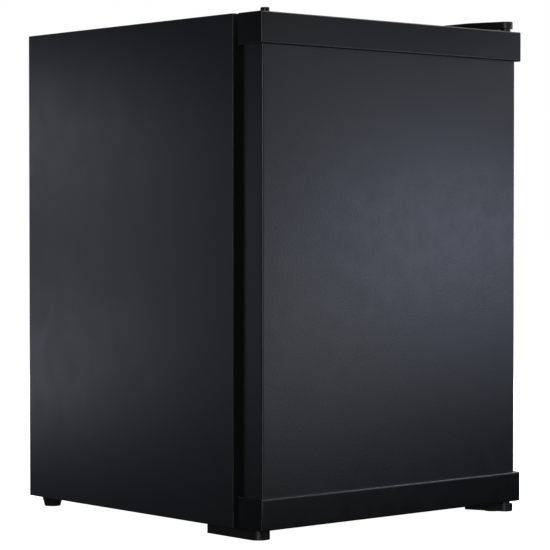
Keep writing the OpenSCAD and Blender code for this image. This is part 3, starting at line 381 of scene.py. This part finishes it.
MATERIALS = {
    "cabinet_paint": satin_paint("cabinet_paint", (0.009, 0.0095, 0.0108), 0.4),
    "door_paint": pebbled_paint("door_paint", (0.009, 0.0095, 0.0115), 0.37),
    "cap_plastic": moulded("cap_plastic", (0.005, 0.0052, 0.0055), 0.34, Specular_IOR_Level=0.38),
    "bracket_paint": satin_paint("bracket_paint", (0.01, 0.01, 0.0105), 0.38, 0.04 * MM),
    "hinge_cover_plastic": moulded("hinge_cover_plastic", (0.007, 0.0072, 0.0076), 0.4),
    "galvanised_steel": galvanised("galvanised_steel", (0.62, 0.63, 0.65), 0.38),
    "zinc_steel": metal("zinc_steel", (0.66, 0.67, 0.7), 0.3),
    "foam": foamed("foam", (0.82, 0.72, 0.45), 0.9),
    "liner_plastic": glossy_sheet("liner_plastic", (0.83, 0.85, 0.87), 0.3),
    "white_plastic": moulded("white_plastic", (0.8, 0.81, 0.82), 0.36, 1 * MM, 0.015 * MM),
    "clear_plastic": clear("clear_plastic", (0.86, 0.93, 0.96), 0.12, 1.49, 0.1 * MM),
    "shelf_glass": clear("shelf_glass", (0.86, 0.95, 0.91), 0.03, 1.52, 0.03 * MM),
    "copper": copper_tube("copper", (0.86, 0.5, 0.34), 0.32),
    "rubber": rubber("rubber", (0.012, 0.012, 0.013), 0.6),
    "magnet": foamed("magnet", (0.05, 0.045, 0.04), 0.8),
    "compressor_paint": satin_paint("compressor_paint", (0.012, 0.012, 0.012), 0.3, 0.06 * MM),
    "motor_iron": metal("motor_iron", (0.35, 0.34, 0.33), 0.5),
    "evaporator_aluminium": metal("evaporator_aluminium", (0.78, 0.8, 0.82), 0.36, (1, 0.05, 1)),
    "relay_plastic": moulded("relay_plastic", (0.02, 0.02, 0.021), 0.4),
    "cable_sleeve": rubber("cable_sleeve", (0.7, 0.7, 0.68), 0.5),
    "rail_chrome": metal("rail_chrome", (0.8, 0.81, 0.83), 0.14, (0.05, 1, 1), 0.5 * MM, 0.003 * MM, 0.03),
    "foot_plastic": moulded("foot_plastic", (0.012, 0.012, 0.0125), 0.45),
}


# ---- Mesh tools ----


def modify(piece, kind, **settings):
    """Adds a modifier of a kind with its settings."""
    modifier = piece.modifiers.new(kind.lower(), kind)
    for setting, value in settings.items():
        setattr(modifier, setting, value)


def even_normals(piece):
    """Keeps large faces flat in shading next to their rounded edges."""
    modify(piece, "WEIGHTED_NORMAL", keep_sharp=True, weight=60)


def soften(piece, width):
    """Joins a CAD node's faces and rounds its edges."""
    for face in piece.data.polygons:
        face.use_smooth = True
    modify(piece, "WELD", merge_threshold=0.01 * MM)
    modify(piece, "DECIMATE", decimate_type="DISSOLVE", angle_limit=math.radians(0.5))
    modify(piece, "BEVEL", width=width, segments=2, limit_method="ANGLE",
           angle_limit=math.radians(35), use_clamp_overlap=True)
    even_normals(piece)


def finish_piece(name, bm, slot, body, *replaced):
    """Turns a bmesh into a piece that rides on a body."""
    bmesh.ops.remove_doubles(bm, verts=bm.verts, dist=0.005 * MM)
    bmesh.ops.recalc_face_normals(bm, faces=bm.faces)
    mesh = bpy.data.meshes.new(name)
    bm.to_mesh(mesh)
    bm.free()
    for face in mesh.polygons:
        face.use_smooth = True
    mesh.set_sharp_from_angle(angle=math.radians(40))
    piece = bpy.data.objects.new(name, mesh)
    bpy.context.scene.collection.objects.link(piece)
    mesh.materials.append(MATERIALS[slot])
    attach(piece, body)
    if replaced:
        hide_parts(*replaced)
    return piece


def arc(centre, radius, start, end, steps):
    """Points on an arc in a plane, angles in degrees."""
    angles = [math.radians(start + (end - start) * i / steps) for i in range(steps + 1)]
    return [(centre[0] + radius * math.cos(a), centre[1] + radius * math.sin(a)) for a in angles]


def rounded_rectangle(x0, z0, x1, z1, radius):
    """Outline with round corners, which has as many points in every size."""
    corners = [((x1 - radius, z1 - radius), 0), ((x0 + radius, z1 - radius), 90),
               ((x0 + radius, z0 + radius), 180), ((x1 - radius, z0 + radius), 270)]
    return [p for centre, start in corners for p in arc(centre, radius, start, start + 90, 6)]


def loft(bm, rings, close=False, start_cap=False, end_cap=False):
    """Joins closed rings of points with quads."""
    rows = [[bm.verts.new(p) for p in ring] for ring in rings]
    count = len(rows[0])
    pairs = list(zip(rows, rows[1:]))
    if close:
        pairs.append((rows[-1], rows[0]))
    for first, second in pairs:
        for i in range(count):
            j = (i + 1) % count
            bm.faces.new((first[i], first[j], second[j], second[i]))
    if start_cap:
        bm.faces.new(rows[0])
    if end_cap:
        bm.faces.new(rows[-1])


def lathe(bm, profile, centre, steps, radius_at=None):
    """Turns (radius, z) points about a vertical axis; radius_at may change the radius round the axis."""
    rings = []
    for radius, z in profile:
        ring = []
        for i in range(steps):
            turn = math.tau * i / steps
            r = radius_at(radius, turn, z) if radius_at else radius
            ring.append((centre[0] + r * math.cos(turn), centre[1] + r * math.sin(turn), z))
        rings.append(ring)
    loft(bm, rings, start_cap=True, end_cap=True)


def bar(bm, lo, hi, radius, turn=None, segments=2):
    """A box with round edges, turned by a matrix if one is given."""
    lo, hi = Vector(lo), Vector(hi)
    made = bmesh.ops.create_cube(bm, size=1)["verts"]
    for v in made:
        v.co = Vector((lo[i] if v.co[i] < 0 else hi[i] for i in range(3)))
    edges = {e for v in made for e in v.link_edges}
    result = bmesh.ops.bevel(bm, geom=list(edges), offset=radius, segments=segments, profile=0.5,
                             affect="EDGES", clamp_overlap=True)
    if turn is not None:
        verts = set(made) & set(bm.verts) | {v for f in result["faces"] for v in f.verts}
        bmesh.ops.transform(bm, matrix=turn, verts=list(verts))


def side_block(bm, side, xs, ys, zs, radius, segments):
    """A bar on one side; xs are its distances from the middle."""
    x0, x1 = sorted(side * x for x in xs)
    bar(bm, (x0, ys[0], zs[0]), (x1, ys[1], zs[1]), radius, segments=segments)


def sweep(bm, path, radius, sides, flat):
    """A rod along a level path; its height is its width times flat."""
    path = [Vector(p) for p in path]
    up = Vector((0, 0, 1))
    rings = []
    for i, point in enumerate(path):
        ahead = path[min(i + 1, len(path) - 1)] - path[max(i - 1, 0)]
        side = ahead.cross(up).normalized()
        rise = side.cross(ahead).normalized()
        rings.append([point + side * radius * math.cos(math.tau * k / sides)
                      + rise * radius * flat * math.sin(math.tau * k / sides) for k in range(sides)])
    loft(bm, rings, start_cap=True, end_cap=True)


def thicken(bm, eye, thickness):
    """Gives a sheet its thickness, behind the side that faces the point eye."""
    bmesh.ops.remove_doubles(bm, verts=bm.verts, dist=0.005 * MM)
    bmesh.ops.recalc_face_normals(bm, faces=bm.faces)
    facing = sum((Vector(eye) - f.calc_center_median()).dot(f.normal) * f.calc_area() for f in bm.faces)
    if facing < 0:
        bmesh.ops.reverse_faces(bm, faces=bm.faces)
    bmesh.ops.solidify(bm, geom=bm.faces[:], thickness=thickness)


def cut(piece, tool_bm):
    """Takes a closed form away from a piece."""
    mesh = bpy.data.meshes.new("tool")
    bmesh.ops.recalc_face_normals(tool_bm, faces=tool_bm.faces)
    tool_bm.to_mesh(mesh)
    tool_bm.free()
    tool = bpy.data.objects.new("tool", mesh)
    bpy.context.scene.collection.objects.link(tool)
    modify(piece, "BOOLEAN", object=tool, operation="DIFFERENCE", solver="EXACT")
    graph = bpy.context.evaluated_depsgraph_get()
    result = bpy.data.meshes.new_from_object(piece.evaluated_get(graph))
    piece.modifiers.clear()
    piece.data = result
    bpy.data.objects.remove(tool)


# ---- Cabinet ----


def cabinet_shell():
    """One folded sheet: sides, top and the front edge turned inward, with round folds."""
    front, back, low, high = shell_lo.y, shell_hi.y, shell_lo.z, shell_hi.z
    bm = bmesh.new()
    outer = [bm.verts.new((x, front, z)) for x, z in
             ((-half_w, low), (-half_w, high), (half_w, high), (half_w, low))]
    rear = [bm.verts.new((v.co.x, back, v.co.z)) for v in outer]
    inner = [bm.verts.new((x, front, z)) for x, z in
             ((-rim_w, low), (-rim_w, high - FLANGE_W), (rim_w, high - FLANGE_W), (rim_w, low))]
    for i in range(3):
        bm.faces.new((outer[i], outer[i + 1], rear[i + 1], rear[i]))
        bm.faces.new((outer[i + 1], outer[i], inner[i], inner[i + 1]))
    bmesh.ops.recalc_face_normals(bm, faces=bm.faces)
    folds = [e for e in bm.edges if len(e.link_faces) == 2 and e.calc_face_angle() > 0.5]
    bmesh.ops.bevel(bm, geom=folds, offset=1.1 * MM, segments=5, profile=0.5, affect="EDGES")
    piece = finish_piece("cabinet_shell", bm, "cabinet_paint", "cabinet", "outer_wrap")
    modify(piece, "SOLIDIFY", thickness=SHEET, offset=-1, use_even_offset=True)
    even_normals(piece)


def cavity_liner():
    """Vacuum-formed box with a step over the compressor, a round mouth and its front rim."""
    front = rim_lo.y
    mouth_r = 3 * MM
    start = front + mouth_r
    outline = ((start, cav_floor), (step_front, cav_floor), (step_front, step_top),
               (cav_back, step_top), (cav_back, cav_top), (start, cav_top))
    bm = bmesh.new()
    left, right = ([bm.verts.new((x, y, z)) for y, z in outline] for x in (-cav_x, cav_x))
    bm.faces.new(left)
    bm.faces.new(right)
    for i in range(5):
        bm.faces.new((left[i], left[i + 1], right[i + 1], right[i]))
    bmesh.ops.recalc_face_normals(bm, faces=bm.faces)
    folds = [e for e in bm.edges if len(e.link_faces) == 2]
    bmesh.ops.bevel(bm, geom=folds, offset=CAVITY_R, segments=6, profile=0.5, affect="EDGES")

    def widen(v, y, sides, below, above):
        """Moves a point of the mouth outward, square to the mouth's outline."""
        x = max(min(v.co.x, cav_x - CAVITY_R), CAVITY_R - cav_x)
        z = max(min(v.co.z, cav_top - CAVITY_R), cav_floor + CAVITY_R)
        way = Vector((v.co.x - x, 0, v.co.z - z)).normalized()
        reach = below if way.z < 0 else above
        v.co = Vector((x + way.x * (CAVITY_R + sides), y, z + way.z * (CAVITY_R + reach)))

    angles = [math.pi / 2 * i / 4 for i in range(1, 5)]
    steps = [(front + mouth_r * (1 - math.sin(a)), *[mouth_r * (1 - math.cos(a))] * 3) for a in angles]
    steps.append((front, rim_hi.x - cav_x, cav_floor - rim_lo.z, rim_hi.z - cav_top))
    edges = [e for e in bm.edges if len(e.link_faces) == 1]
    for step in steps:
        made = bmesh.ops.extrude_edge_only(bm, edges=edges)["geom"]
        edges = [g for g in made if isinstance(g, bmesh.types.BMEdge)]
        for g in made:
            if isinstance(g, bmesh.types.BMVert):
                widen(g, *step)
    thicken(bm, (0, -0.05, (step_top + cav_top) / 2), LINER)
    shelf_guides(bm)
    even_normals(finish_piece("cavity_liner", bm, "liner_plastic", "cabinet", "inner_liner"))


def shelf_guides(bm):
    """Pairs of ribs on both walls that the shelves slide between."""
    pitch = (level_high - level_low) / 2
    slot_h = glass_t + 2 * GLASS_PLAY
    width = (cav_x - 8 * MM, cav_x + 1 * MM)
    length = (shell_lo.y + 15 * MM, cav_back - 30 * MM)
    for level in (level_low + i * pitch for i in range(4)):
        for height in ((level - 6 * MM, level), (level + slot_h, level + slot_h + 4.4 * MM)):
            for side in (-1, 1):
                side_block(bm, side, width, length, height, 1.6 * MM, 4)


def freezer_box():
    """Roll-bonded plate folded into a box, with one channel winding over its floor."""
    x0, x1, z0, z1 = freezer_lo.x, freezer_hi.x, freezer_lo.z, freezer_hi.z
    bend = 6 * MM
    back = freezer_hi.y - PLATE
    angles = [math.pi / 2 * i / 6 for i in range(7)]
    sections = [(PLATE, freezer_lo.y)]
    sections += [(PLATE + bend * (1 - math.cos(a)), back - bend * (1 - math.sin(a))) for a in angles]
    bm = bmesh.new()
    rings = []
    for inset, y in sections:
        outline = rounded_rectangle(x0 + inset, z0 + inset, x1 - inset, z1 - inset,
                                    max(bend + PLATE - inset, 0.3 * MM))
        rings.append([(x, y, z) for x, z in outline])
    loft(bm, rings, end_cap=True)
    thicken(bm, ((x0 + x1) / 2, freezer_lo.y, (z0 + z1) / 2), PLATE)
    sweep(bm, freezer_channel(), 3 * MM, 16, 0.8)
    even_normals(finish_piece("freezer_box", bm, "evaporator_aluminium", "cabinet", "evaporator"))


def freezer_channel():
    """Runs from front to back over the floor, joined by half turns."""
    runs = 5
    pitch = (freezer_hi.x - freezer_lo.x) / (runs + 1)
    front, back = freezer_lo.y + 12 * MM, freezer_hi.y - 12 * MM
    z = freezer_lo.z + PLATE + 0.2 * MM
    path = []
    for i in range(runs):
        x = freezer_lo.x + (i + 1) * pitch
        near, far = (front, back) if i % 2 == 0 else (back, front)
        ahead = 1 if far > near else -1
        path.append((x, near if i == 0 else near + ahead * pitch / 2, z))
        if i == runs - 1:
            path.append((x, far, z))
            continue
        middle = far - ahead * pitch / 2
        turn = arc((x + pitch / 2, middle), pitch / 2, 180, 0, 12)
        path += [(px, middle + ahead * (py - middle), z) for px, py in turn]
    return path


def dial_marks():
    """Raised ticks on the thermostat's housing, longer toward the coldest setting."""
    centre = Vector(((knob_lo.x + knob_hi.x) / 2, housing_lo.y, (knob_lo.z + knob_hi.z) / 2))
    start = knob_hi.x - centre.x + 1.6 * MM
    bm = bmesh.new()
    for i in range(7):
        turn = Matrix.Translation(centre) @ Matrix.Rotation(math.radians(-105 + 35 * i), 4, "Y")
        end = start + (2.4 + 0.4 * i) * MM
        bar(bm, (-0.5 * MM, -0.35 * MM, start), (0.5 * MM, 0.4 * MM, end), 0.15 * MM, turn)
    finish_piece("dial_marks", bm, "relay_plastic", "cabinet")


def knob_pointer():
    """Coloured insert on the knob's grip."""
    x, z = (knob_lo.x + knob_hi.x) / 2, (knob_lo.z + knob_hi.z) / 2
    low = (x - 0.9 * MM, knob_lo.y - 0.25 * MM, z + 3 * MM)
    high = (x + 0.9 * MM, knob_lo.y + 0.5 * MM, knob_hi.z - 5 * MM)
    bm = bmesh.new()
    bar(bm, low, high, 0.2 * MM)
    finish_piece("knob_pointer", bm, "relay_plastic", "thermostat_knob")


def levelling_foot(name, side):
    """Fluted disc, hexagonal lock nut and threaded stud."""
    centre = ((foot_lo.x + foot_hi.x) / 2 * side, (foot_lo.y + foot_hi.y) / 2)
    r = (foot_hi.x - foot_lo.x) / 2
    stud_r = 4 * MM
    pitch = 1.25 * MM
    disc_top, nut_top = 5.4 * MM, 7.4 * MM
    bm = bmesh.new()

    def fluted(radius, turn, z):
        return radius * (1 - 0.045 * max(0, math.cos(18 * turn)) ** 2) if radius > 0.8 * r else radius

    edge = 1 * MM
    disc = [(r - edge, 0), (r - 0.3 * edge, 0.3 * edge), (r, edge), (r, disc_top - edge)]
    disc += arc((r - edge, disc_top - edge), edge, 20, 90, 4) + [(stud_r, disc_top)]
    lathe(bm, disc, centre, 144, fluted)

    def six_sided(radius, turn, z):
        return radius * math.cos(math.pi / 6) / math.cos((turn + math.pi / 6) % (math.pi / 3) - math.pi / 6)

    nut_r = 6.5 * MM
    nut = [(nut_r, disc_top), (nut_r, nut_top - 0.4 * MM), (nut_r * 0.93, nut_top)]
    lathe(bm, nut, centre, 72, six_sided)

    def threaded(radius, turn, z):
        wave = 0.5 + 0.5 * math.cos(math.tau * z / pitch - turn)
        return radius - 0.45 * MM * wave

    rings = round((foot_hi.z - nut_top) / pitch * 8)
    heights = [nut_top + (foot_hi.z - nut_top) * i / rings for i in range(rings + 1)]
    lathe(bm, [(stud_r, z) for z in heights], centre, 32, threaded)
    even_normals(finish_piece(f"{name}_fluted", bm, "foot_plastic", name, name))


# ---- Door ----


def door_inner_panel():
    """Vacuum-formed panel with a raised ridge round it, lugs for the racks and sockets for the rail."""
    ridge_x = cav_x - 10 * MM
    ridge_lo, ridge_hi = cav_floor + 10 * MM, cav_top - 10 * MM
    base, crest = seal_lo.y + LINER, door_liner_hi.y
    panel = crest - 20 * MM
    fold, crown = 6 * MM, 5 * MM
    ridge_w = 14 * MM

    def corner_steps(inset, y, radius, start, end):
        """Arc in the plane of (inset, y), seen across the ridge."""
        return arc((inset, y), radius, start, end, 5)

    section = corner_steps(-fold, base + fold, fold, -90, 0)
    section += corner_steps(crown, crest - crown, crown, 180, 90)
    section += corner_steps(ridge_w - crown, crest - crown, crown, 90, 0)
    section += corner_steps(ridge_w + fold, panel + fold, fold, 180, 270)
    outer = rounded_rectangle(-door_liner_hi.x, door_liner_lo.z, door_liner_hi.x, door_liner_hi.z, 3 * MM)
    rings = [[(x, base, z) for x, z in outer]]
    for inset, y in section:
        outline = rounded_rectangle(inset - ridge_x, ridge_lo + inset, ridge_x - inset, ridge_hi - inset,
                                    20 * MM - inset * 0.7)
        rings.append([(x, y, z) for x, z in outline])
    bm = bmesh.new()
    loft(bm, rings, end_cap=True)
    thicken(bm, (0, 1, (ridge_lo + ridge_hi) / 2), LINER)
    panel_x = ridge_x - ridge_w
    wall_x = panel_x + 0.5 * MM
    lug_depth, socket_depth = (panel + 2 * MM, panel + 14 * MM), (panel - 1 * MM, panel + 6 * MM)
    for side in (-1, 1):
        for node in ("bottom_rack", "middle_rack", "top_rack"):
            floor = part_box(node)[0].z
            height = (floor + 10 * MM, floor + 20 * MM)
            side_block(bm, side, (panel_x - 6 * MM, wall_x), lug_depth, height, 1 * MM, 3)
        height = (rail_z - 6 * MM, rail_z + 6 * MM)
        side_block(bm, side, (panel_x - 7 * MM, wall_x), socket_depth, height, 1.2 * MM, 3)
    even_normals(finish_piece("door_inner_panel", bm, "liner_plastic", "door", "door_liner"))


def door_cap(name, node, at_top):
    """End cap of the door: round front edges, and a notch at the back for the liner and the gasket."""
    front, back = cap_lo.y, cap_hi.y
    step_x, step_y = skin_hi.x, skin_hi.y
    z0, z1 = (corner.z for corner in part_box(node))
    mouth, roof, far = (z0, seal_hi.z, z1) if at_top else (z1, seal_lo.z, z0)
    bm = bmesh.new()
    corners = {}
    for sx in (-1, 1):
        for key, point in {
            "front_mouth": (half_w, front, mouth), "front_far": (half_w, front, far),
            "back_mouth": (half_w, back, mouth), "back_far": (half_w, back, far),
            "step_back_mouth": (step_x, back, mouth), "step_in_mouth": (step_x, step_y, mouth),
            "step_back_roof": (step_x, back, roof), "step_in_roof": (step_x, step_y, roof),
        }.items():
            corners[sx, key] = bm.verts.new((sx * point[0], point[1], point[2]))
    for one, other in (("front_mouth", "front_far"), ("front_far", "back_far"),
                       ("step_back_roof", "step_in_roof"), ("step_in_roof", "step_in_mouth")):
        bm.faces.new([corners[spot] for spot in ((-1, one), (1, one), (1, other), (-1, other))])
    for sx in (-1, 1):
        for keys in (("front_mouth", "front_far", "back_far", "back_mouth"),
                     ("step_in_mouth", "step_in_roof", "step_back_roof", "step_back_mouth")):
            bm.faces.new([corners[sx, key] for key in keys])
    for keys in (("front_mouth", "back_mouth", "step_back_mouth", "step_in_mouth"),
                 ("back_far", "back_mouth", "step_back_mouth", "step_back_roof")):
        left = [corners[-1, key] for key in keys]
        right = [corners[1, key] for key in reversed(keys)]
        bm.faces.new(left + right)
    bmesh.ops.recalc_face_normals(bm, faces=bm.faces)
    front_edges = [e for e in bm.edges if all(abs(p.co.y - front) < 0.01 * MM for p in e.verts)]
    bmesh.ops.bevel(bm, geom=front_edges, offset=2.4 * MM, segments=6, profile=0.5, affect="EDGES")
    sharp = [e for e in bm.edges if len(e.link_faces) == 2 and e.calc_face_angle() > math.radians(50)]
    bmesh.ops.bevel(bm, geom=sharp, offset=0.7 * MM, segments=3, profile=0.5, affect="EDGES")
    return finish_piece(name, bm, "cap_plastic", "door", node)


def bore(cap, face, way):
    """Cuts the holes into a cap's outer face, which looks up for way 1 and down for way -1."""
    holes = bmesh.new()
    profile = [(BUSH_R, face - way * BUSH_LEN), (BUSH_R, face - way * BUSH_FLANGE_T),
               (bush_flange_r, face - way * BUSH_FLANGE_T), (bush_flange_r, face + way * MM)]
    lathe(holes, profile, (hinge_x, hinge_y), 48)
    if way > 0:
        lathe(holes, [(PLUG_R, face - BUSH_LEN), (PLUG_R, face + MM)], (-hinge_x, hinge_y), 48)
    cut(cap, holes)
    even_normals(cap)


def door_caps():
    """Both end caps, with their holes."""
    bore(door_cap("door_top_trim", "door_top_cap", True), cap_hi.z, 1)
    bore(door_cap("door_bottom_trim", "door_bottom_cap", False), low_cap_lo.z, -1)


def hinge_plug():
    """Push-in plug with a domed head."""
    r = (plug_hi.x - plug_lo.x) / 2
    head = plug_hi.z - 5.5 * MM
    edge = 1.2 * MM
    bm = bmesh.new()
    profile = [(PLUG_R, plug_lo.z), (PLUG_R, head), (r, head), (r, plug_hi.z - edge)]
    profile += arc((r - edge, plug_hi.z - edge), edge, 10, 90, 6)
    profile += [(r * 0.4, plug_hi.z), (0.2 * MM, plug_hi.z)]
    lathe(bm, profile, ((plug_lo.x + plug_hi.x) / 2, (plug_lo.y + plug_hi.y) / 2), 48)
    even_normals(finish_piece("hinge_plug", bm, "cap_plastic", "door", "hinge_hole_plug"))


def gasket():
    """Mitred frame of extruded rubber: a base with a dart, and folded bellows that hold the magnet."""
    base = 4.5 * MM
    y0 = seal_lo.y
    y1 = seal_lo.y + base
    y2 = seal_hi.y
    base_w = seal_hi.x - (rim_w - 2.5 * MM)
    seat = 8.5 * MM
    deep = base_w - seat
    fold = 2.2 * MM
    steps = 16

    def wall(offset, sign):
        """One folded side of the bellows, from the base to the face."""
        points = []
        for i in range(steps + 1):
            t = i / steps
            inset = fold * (1 - math.cos(math.tau * 1.5 * t)) / 2
            points.append((offset + sign * inset, y1 + (y2 - y1) * t))
        return points

    profile = [(0, 0, y0), (2 * MM, 2 * MM, y0), (2 * MM, 2 * MM, y0 + 2 * MM),
               (base_w, deep, y0 + 2 * MM), (base_w, deep, y1)]
    profile += [(seat + w, w, y) for w, y in wall(deep, -1)[1:]]
    profile += [(seat + w, w, y) for w, y in reversed(wall(0, 1)[1:])]
    profile += [(seat, 0.2 * MM, y1), (0.6 * MM, 0, y1), (0, 0, y1 - 0.6 * MM)]
    rings = []
    for sx, top in ((-1, False), (1, False), (1, True), (-1, True)):
        rings.append([(sx * (seal_hi.x - dx), y, seal_hi.z - dz if top else seal_lo.z + dz)
                      for dx, dz, y in profile])
    bm = bmesh.new()
    loft(bm, rings, close=True)
    even_normals(finish_piece("gasket_frame", bm, "rubber", "door", "door_gasket"))


# ---- Everything else keeps its CAD form, with edges rounded by these radii in mm ----

EDGE_ROUNDING = {
    "top_hinge_cover": 0.9, "lower_hinge_bracket": 0.4, "left_front_bracket": 0.4, "front_rail": 0.3,
    "freezer_frame": 0.8, "freezer_flap": 0.5, "drip_tray": 0.5, "upper_shelf_glass": 0.7,
    "lower_shelf_glass": 0.7, "upper_shelf_trim": 0.8, "lower_shelf_trim": 0.8, "tray_runners": 0.3,
    "thermostat_housing": 0.8, "thermostat_knob": 0.6, "top_rack": 0.6, "middle_rack": 0.6,
    "bottom_rack": 0.6, "relay_cover": 0.6, "rear_feet": 0.6, "compressor_grommets": 0.5,
    "cord_gland": 0.5, "top_hinge_plate": 0.3, "back_panel": 0.2, "base_pan": 0.2,
    "compressor_plate": 0.4, "hinge_bushes": 0.3, "evaporator_screws": 0.3,
}


def dress_nodes():
    """Gives every CAD node its material, and rounds the edges of those that stay visible."""
    slots = {part["node"]: part["material_slot"] for part in frame["record"]["subparts"]}
    for name, node in frame["nodes"].items():
        node.data.materials.clear()
        node.data.materials.append(MATERIALS[slots[name]])
        if not node.hide_render and name in EDGE_ROUNDING:
            soften(node, EDGE_ROUNDING[name] * MM)


add_camera()
add_world()
add_floor()
add_lights()
bpy.context.scene.view_settings.view_transform = "Standard"
cabinet_shell()
cavity_liner()
freezer_box()
dial_marks()
knob_pointer()
levelling_foot("left_foot", -1)
levelling_foot("right_foot", 1)
door_inner_panel()
door_caps()
hinge_plug()
gasket()
dress_nodes()
